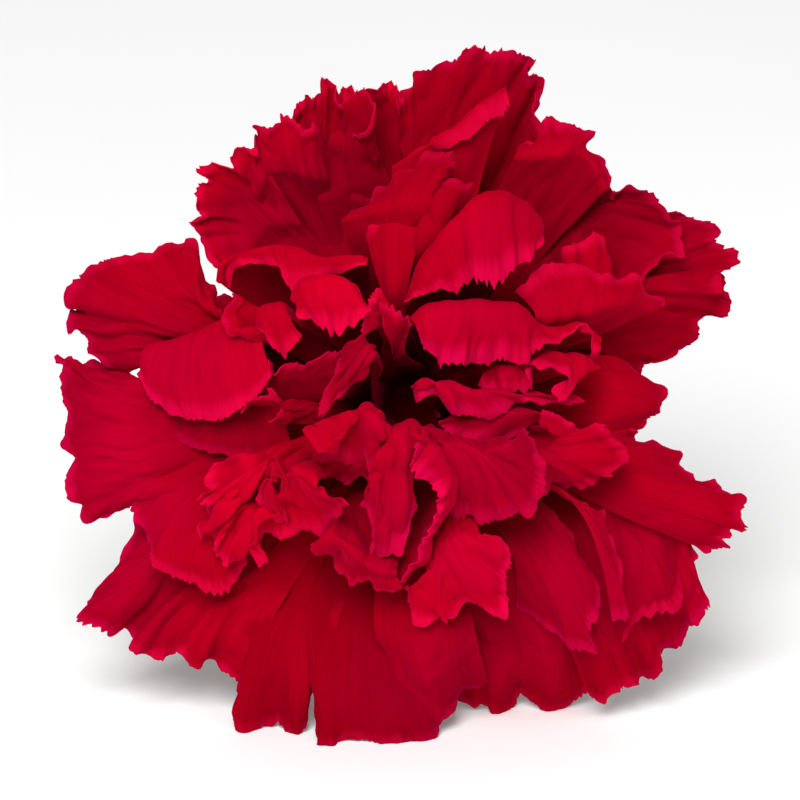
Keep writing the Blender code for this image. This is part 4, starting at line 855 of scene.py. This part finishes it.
def mix(tree, kind, factor, a, b):
    """Two colours mixed; factor, a and b are sockets or plain values."""
    inputs = {0: factor, 6: a, 7: b}
    return node(tree, "ShaderNodeMix", inputs, data_type="RGBA", blend_type=kind).outputs[2]


def add_bump(tree, shader, heights):
    """Bump from (socket, strength, distance in metres), one after the other."""
    last = {}
    for height, strength, distance in heights:
        inputs = {"Height": height, "Strength": strength, "Distance": distance}
        last = {"Normal": node(tree, "ShaderNodeBump", inputs | last).outputs[0]}
    feed(tree, shader, last)


def axis_tone(tree, place_in):
    """Painted shade by how high a point lies along the flower's axis: lower petals are painted darker."""
    axis = Vector((0.0, -math.cos(TILT), math.sin(TILT)))
    low, high = (MOUTH_AT @ axis + height * MM for height in (SHADE_LOW, SHADE_HIGH))
    height = node(tree, "ShaderNodeVectorMath", {0: place_in, 1: axis}, operation="DOT_PRODUCT")
    inputs = {"Value": height.outputs["Value"], "From Min": low, "From Max": high}
    level = node(tree, "ShaderNodeMapRange", inputs)
    return ramp(tree, level.outputs[0], *((at, grey(value)) for at, value in DEPTH_SHADES))


def petal_material():
    """Matt crimson with veins, patches and a faint sheen; painted shade at the claw and low down, a painted
    highlight at the rim and painted light and shade per petal.
    """
    made, tree, shader, place_in = new_material("petal", roughness=0.8, specular=0.0)
    lie = node(tree, "ShaderNodeUVMap", {}, uv_map="lie").outputs[0]
    along = node(tree, "ShaderNodeSeparateXYZ", {0: lie}).outputs[1]
    veins = stretched_noise(tree, lie, VEIN_STRETCH, scale=1.0, detail=4.0)
    patches = stretched_noise(tree, place_in, EVEN, PETAL_PATCHES, detail=3.0)
    grain = stretched_noise(tree, place_in, EVEN, PETAL_GRAIN, detail=2.0)
    drift = stretched_noise(tree, place_in, EVEN, PETAL_DRIFT, detail=2.0)
    own = node(tree, "ShaderNodeAttribute", {}, attribute_type="GEOMETRY", attribute_name="tone")
    layers = (
        (1.0, ramp(tree, patches, (0.3, grey(0.78)), (0.7, grey(1.0)))),
        (1.0, ramp(tree, drift, (0.42, grey(1.0)), (0.62, PETAL_COOL))),
        (VEIN_SHARE, ramp(tree, veins, (0.35, grey(0.87)), (0.6, grey(1.0)))),
        # Painted shade: lower petals are darker by their height along the axis.
        (1.0, axis_tone(tree, place_in)),
        # Painted light and shade, set for each petal.
        (1.0, own.outputs["Color"]),
    )
    # Painted shade towards the claw and a painted highlight at the rim, over the petal's own crimson.
    colour = ramp(tree, along, *PETAL_COLOURS_SHADE_AND_HIGHLIGHT)
    for share, layer in layers:
        colour = mix(tree, "MULTIPLY", share, colour, layer)
    feed(tree, shader, PETAL_GLOW | {"Base Color": colour})
    add_bump(tree, shader, [(veins, 0.22, 0.00025), (grain, 0.25, 0.00006)])
    return made


def green_material(name, colour, pale, stretch, scale):
    """Matt waxy green with long fine streaks and a paler bloom in patches."""
    made, tree, shader, place_in = new_material(name, roughness=0.55, specular=0.3)
    turn = node(tree, "ShaderNodeMapping", {"Vector": place_in, "Rotation": (TILT, 0.0, 0.0)})
    streaks = stretched_noise(tree, turn.outputs[0], stretch, scale, detail=4.0)
    patches = stretched_noise(tree, place_in, EVEN, GREEN_PATCHES, detail=3.0)
    grain = stretched_noise(tree, place_in, EVEN, GREEN_GRAIN, detail=2.0)
    base = ramp(tree, streaks, (0.3, [part * STREAK_DARK for part in colour]), (0.7, colour))
    waxy = ramp(tree, patches, (0.4, grey(0.0)), (0.75, grey(WAX_SHARE)))
    rough = ramp(tree, patches, (0.3, grey(0.5)), (0.7, grey(0.7)))
    feed(tree, shader, {"Base Color": mix(tree, "MIX", waxy, base, (*pale, 1.0)), "Roughness": rough})
    add_bump(tree, shader, [(streaks, 0.3, 0.0003), (grain, 0.15, 0.00008)])
    return made


def floor_material():
    """Plain pale matt, a little uneven."""
    made, tree, shader, place_in = new_material("table", roughness=0.9, specular=0.1)
    patches = stretched_noise(tree, place_in, EVEN, FLOOR_PATCHES, detail=3.0)
    colour = ramp(tree, patches, (0.3, grey(FLOOR_DARK)), (0.7, grey(FLOOR_LIGHT)))
    feed(tree, shader, {"Base Color": colour})
    return made


def make_petals(made):
    for index, spec in enumerate(PETALS):
        middle, across, along = petal_surface(spec, BLOOM_SEED + index)
        name = f"petal_{index + 1:02d}"
        piece = sheet_piece(name, middle, PETAL_THICKNESS, made, across, along, PETAL_TIP)
        # Each petal's painted light and shade travels with it as a mesh attribute.
        keep(set_tone(piece, spec["tone"]), "bloom")


def make_claws(made):
    """The petals' narrow claws, bundled inside the calyx, as one fluted column that ends in the pit."""
    angle = around(CLAW_SIDES)
    flutes = 1 + sum(deep * np.cos(count * angle) for count, deep in CLAW_FLUTES)
    rings = [ring(radius * flutes, height, CLAW_SIDES) for radius, height in CLAW_PROFILE]
    # The claws carry no lie map, so the petal colour ramp paints them at its darkest stop: painted shade in
    # the pit.
    keep(set_tone(ring_piece("petal_claws", rings, made), 1.0), "bloom")


def calyx_radius(height):
    """Radius of the solid calyx at a height."""
    return np.interp(height, [z for _, z in CALYX_OUTER], [r for r, _ in CALYX_OUTER])


def make_calyx(made):
    """A ribbed tube closed below, its mouth cut into five pointed teeth."""
    angle = around(CALYX_SIDES)
    share = angle * CALYX_TEETH / (2 * math.pi) % 1.0
    point = (1 - np.abs(2 * share - 1)) ** TOOTH_POWER
    tips = CALYX_MOUTH + TOOTH_FOOT + (TOOTH_LENGTH - TOOTH_FOOT) * point
    ribs = CALYX_RIB_HIGH * (np.cos(CALYX_RIBS * angle) + np.cos(CALYX_TEETH * angle + math.pi))
    mouth_radius = calyx_radius(CALYX_MOUTH) - CALYX_SKIN
    radii = [CALYX_OUTER[0][0] - CALYX_FOOT_IN]
    heights = [CALYX_FOOT]
    for t in np.linspace(0, 1, CALYX_ROWS):
        heights.append(CALYX_FOOT + t * (CALYX_MOUTH - CALYX_FOOT))
        radii.append(calyx_radius(heights[-1]) + ribs * smooth(t * 4) - CALYX_SKIN)
    for t in np.linspace(0.1, 1, TOOTH_ROWS + 1):
        heights.append(CALYX_MOUTH + t * (tips - CALYX_MOUTH))
        radii.append(mouth_radius + TOOTH_FLARE * t + ribs * (1 - t))
    for t in np.linspace(1, 0, TOOTH_ROWS):
        heights.append(CALYX_MOUTH + t * (tips - CALYX_MOUTH))
        wall = TOOTH_WALL + TOOTH_GROWTH * (1 - t)
        radii.append(mouth_radius + TOOTH_FLARE * t - wall)
    for height in np.linspace(CALYX_MOUTH - CALYX_LIP, CALYX_FOOT + CALYX_FLOOR, TOOTH_ROWS):
        heights.append(height)
        radii.append(calyx_radius(height) - CALYX_WALL)
    rings = [ring(radius, height, CALYX_SIDES) for radius, height in zip(radii, heights)]
    keep(ring_piece("calyx_tube", rings, made), "calyx")


def make_bracts(made):
    """Two pairs of pointed scales that hug the foot of the calyx."""
    u = np.linspace(-1, 1, 25)[None, :]
    v = np.linspace(0, 1, 30)[:, None]
    spread = math.radians(BRACT_HALF_ANGLE) * (1 - v**2) ** BRACT_POWER + math.radians(BRACT_TIP_ANGLE)
    lift = BRACT_LIFT + BRACT_TIP_LIFT * v - BRACT_CUP * (np.abs(u) - BRACT_CUP_FROM)
    for index in range(BRACTS):
        length = BRACT_LENGTH * (1.0 if index % 2 else BRACT_SHORT)
        angle = 2 * math.pi * (index + 0.5) / BRACTS + u * spread
        height = CALYX_FOOT + BRACT_RISE + v * length + 0 * angle
        radius = calyx_radius(height) + lift
        middle = np.stack([radius * np.cos(angle), radius * np.sin(angle), height], axis=2)
        across, along = np.broadcast_to(u, angle.shape), np.broadcast_to(v, angle.shape)
        name = f"bract_{index + 1}"
        piece = sheet_piece(name, middle, BRACT_THICKNESS, made, across, along, SHARP_TIP)
        keep(piece, "calyx")


def stem_radius(down):
    """Radius of the stem at a distance below its top, with its swollen node."""
    top = (STEM_TOP_RADIUS - STEM_RADIUS) * math.exp(-((down / STEM_TOP_LENGTH) ** 2))
    swell = (NODE_RADIUS - STEM_RADIUS) * math.exp(-(((down - NODE_AT) / NODE_HALF_LENGTH) ** 4))
    return STEM_RADIUS + top + swell


def make_stem(made):
    """A round stem, faintly furrowed, cut at a slant."""
    angle = around(STEM_SIDES)
    furrows = FURROW_DEEP * np.cos(STEM_FURROWS * angle) - FURROW_DEEP
    above = np.linspace(0, NODE_AT - 4, STEM_ROWS)
    at_node = np.linspace(NODE_AT - 3.6, NODE_AT + 4, NODE_ROWS)
    below = np.linspace(NODE_AT + 4.5, STEM_LENGTH, NODE_ROWS)
    rings = []
    for down in np.concatenate([above, at_node, below]):
        radius = stem_radius(down) + furrows
        slant = STEM_CUT_SLOPE * radius * np.cos(angle) if down == STEM_LENGTH else 0
        rings.append(ring(radius, CALYX_FOOT - down + slant, STEM_SIDES))
    keep(ring_piece("stem_stalk", rings, made), "stem")


def leaf_middle(side):
    """Middle surface of a narrow leaf that clasps the stem's node and arches away to one side."""
    columns, rows = LEAF_GRID
    u = np.linspace(-1, 1, columns + 1)[None, :]
    v = np.linspace(0, 1, rows + 1)[:, None]
    late, steep = LEAF_TAPER
    swell = LEAF_FOOT_SHARE + LEAF_SWELL * v
    half = LEAF_WIDTH / 2 * (1 - v**late) ** steep * swell + LEAF_TIP
    angle = np.radians(LEAF_STEEP - LEAF_ARCH * smooth(v / 0.9))
    step = LEAF_LENGTH / rows
    out = NODE_RADIUS + LEAF_FOOT_OUT + np.concatenate([[[0]], np.cumsum(np.cos(angle[1:]), axis=0) * step])
    rise = NODE_HEIGHT + np.concatenate([[[0]], np.cumsum(np.sin(angle[1:]), axis=0) * step])
    twist = LEAF_TWIST * np.cos(9 * v + 2 * side) * u * v
    keel = LEAF_KEEL * np.abs(u) ** LEAF_KEEL_POWER * half * (1 - 0.5 * v) + twist
    x = out - keel * np.sin(angle)
    z = rise + keel * np.cos(angle)
    middle = np.stack([side * x, u * half * np.ones_like(x), z], axis=2)
    return middle, np.broadcast_to(u * half / 10, x.shape), np.broadcast_to(v, x.shape)


def make_leaves(made):
    for name, side in (("left", -1), ("right", 1)):
        middle, across, along = leaf_middle(side)
        piece = sheet_piece(f"leaf_blade_{name}", middle, LEAF_THICKNESS, made, across, along, SHARP_TIP)
        keep(piece, f"leaf_{name}")


def make_sheath(made):
    """The leaves' joined foot, a thin collar round the stem's node."""
    rim = NODE_HEIGHT + SHEATH_RIM + SHEATH_RIM_RISE * np.abs(np.cos(around(SHEATH_SIDES))) ** 2
    foot, outside, inside = (NODE_HEIGHT - under for under in SHEATH_UNDER)
    radius = NODE_RADIUS + SHEATH_CLEAR
    rings = [ring(NODE_RADIUS - SHEATH_FOOT_IN, foot, SHEATH_SIDES)]
    for t in np.linspace(0, 1, SHEATH_ROWS):
        rings.append(ring(radius + SHEATH_FLARE * t, outside + t * (rim - outside), SHEATH_SIDES))
    for t in np.linspace(1, 0, SHEATH_ROWS):
        height = inside + t * (rim - SHEATH_RIM_EDGE - inside)
        rings.append(ring(radius + SHEATH_FLARE * t - SHEATH_WALL, height, SHEATH_SIDES))
    keep(ring_piece("leaf_sheath", rings, made), "leaf_left")


def make_table():
    """A wide pale table just under the flower."""
    low, high = -FLOOR_HALF, FLOOR_HALF
    mesh = bpy.data.meshes.new("table_top")
    mesh.from_pydata([(low, low, 0), (high, low, 0), (high, high, 0), (low, high, 0)], [], [(0, 1, 2, 3)])
    mesh.materials.append(floor_material())
    table = add_object("table_top", mesh)
    table.location.z = -FLOOR_DROP


def make_lights():
    """An even sky with a broad key light and a weak fill, both aimed at the bloom."""
    world = bpy.data.worlds.new("studio")
    world.use_nodes = True
    background = world.node_tree.nodes["Background"]
    background.inputs["Color"].default_value = (1.0, 1.0, 1.0, 1.0)
    background.inputs["Strength"].default_value = SKY
    bpy.context.scene.world = world
    aim = Vector(to_world(LIGHTS_AIM))
    for name, (place_at, size, power) in LIGHTS.items():
        data = bpy.data.lights.new(name, "AREA")
        data.shape = "DISK"
        data.size = size
        data.energy = power
        light = add_object(name, data)
        light.location = to_world(place_at)
        light.rotation_mode = "QUATERNION"
        light.rotation_quaternion = (aim - Vector(to_world(place_at))).to_track_quat("-Z", "Y")


def make_camera():
    """The camera looks straight along the flower's axis, from VIEW_DISTANCE."""
    data = bpy.data.cameras.new("camera")
    data.sensor_width = SENSOR
    data.lens = SENSOR * (VIEW_DISTANCE - VIEW_PLANE) / (IMAGE_SIDE * PIXEL)
    data.clip_start, data.clip_end = CLIP
    camera = add_object("camera", data)
    camera.location = to_world(((VIEW_PIXEL - AXIS_PIXEL[0]) * PIXEL, 0.0, VIEW_DISTANCE))
    camera.rotation_euler = (math.radians(90) - TILT, 0.0, 0.0)
    bpy.context.scene.camera = camera


def main():
    make_camera()
    red = petal_material()
    greens = {name: green_material(name, *look) for name, look in GREENS.items()}
    make_petals(red)
    make_claws(red)
    make_calyx(greens["calyx"])
    make_bracts(greens["calyx"])
    make_stem(greens["stem"])
    make_leaves(greens["leaf"])
    make_sheath(greens["leaf"])
    make_table()
    make_lights()
    bpy.context.scene.view_settings.view_transform = "Standard"
    bpy.context.view_layer.update()


main()
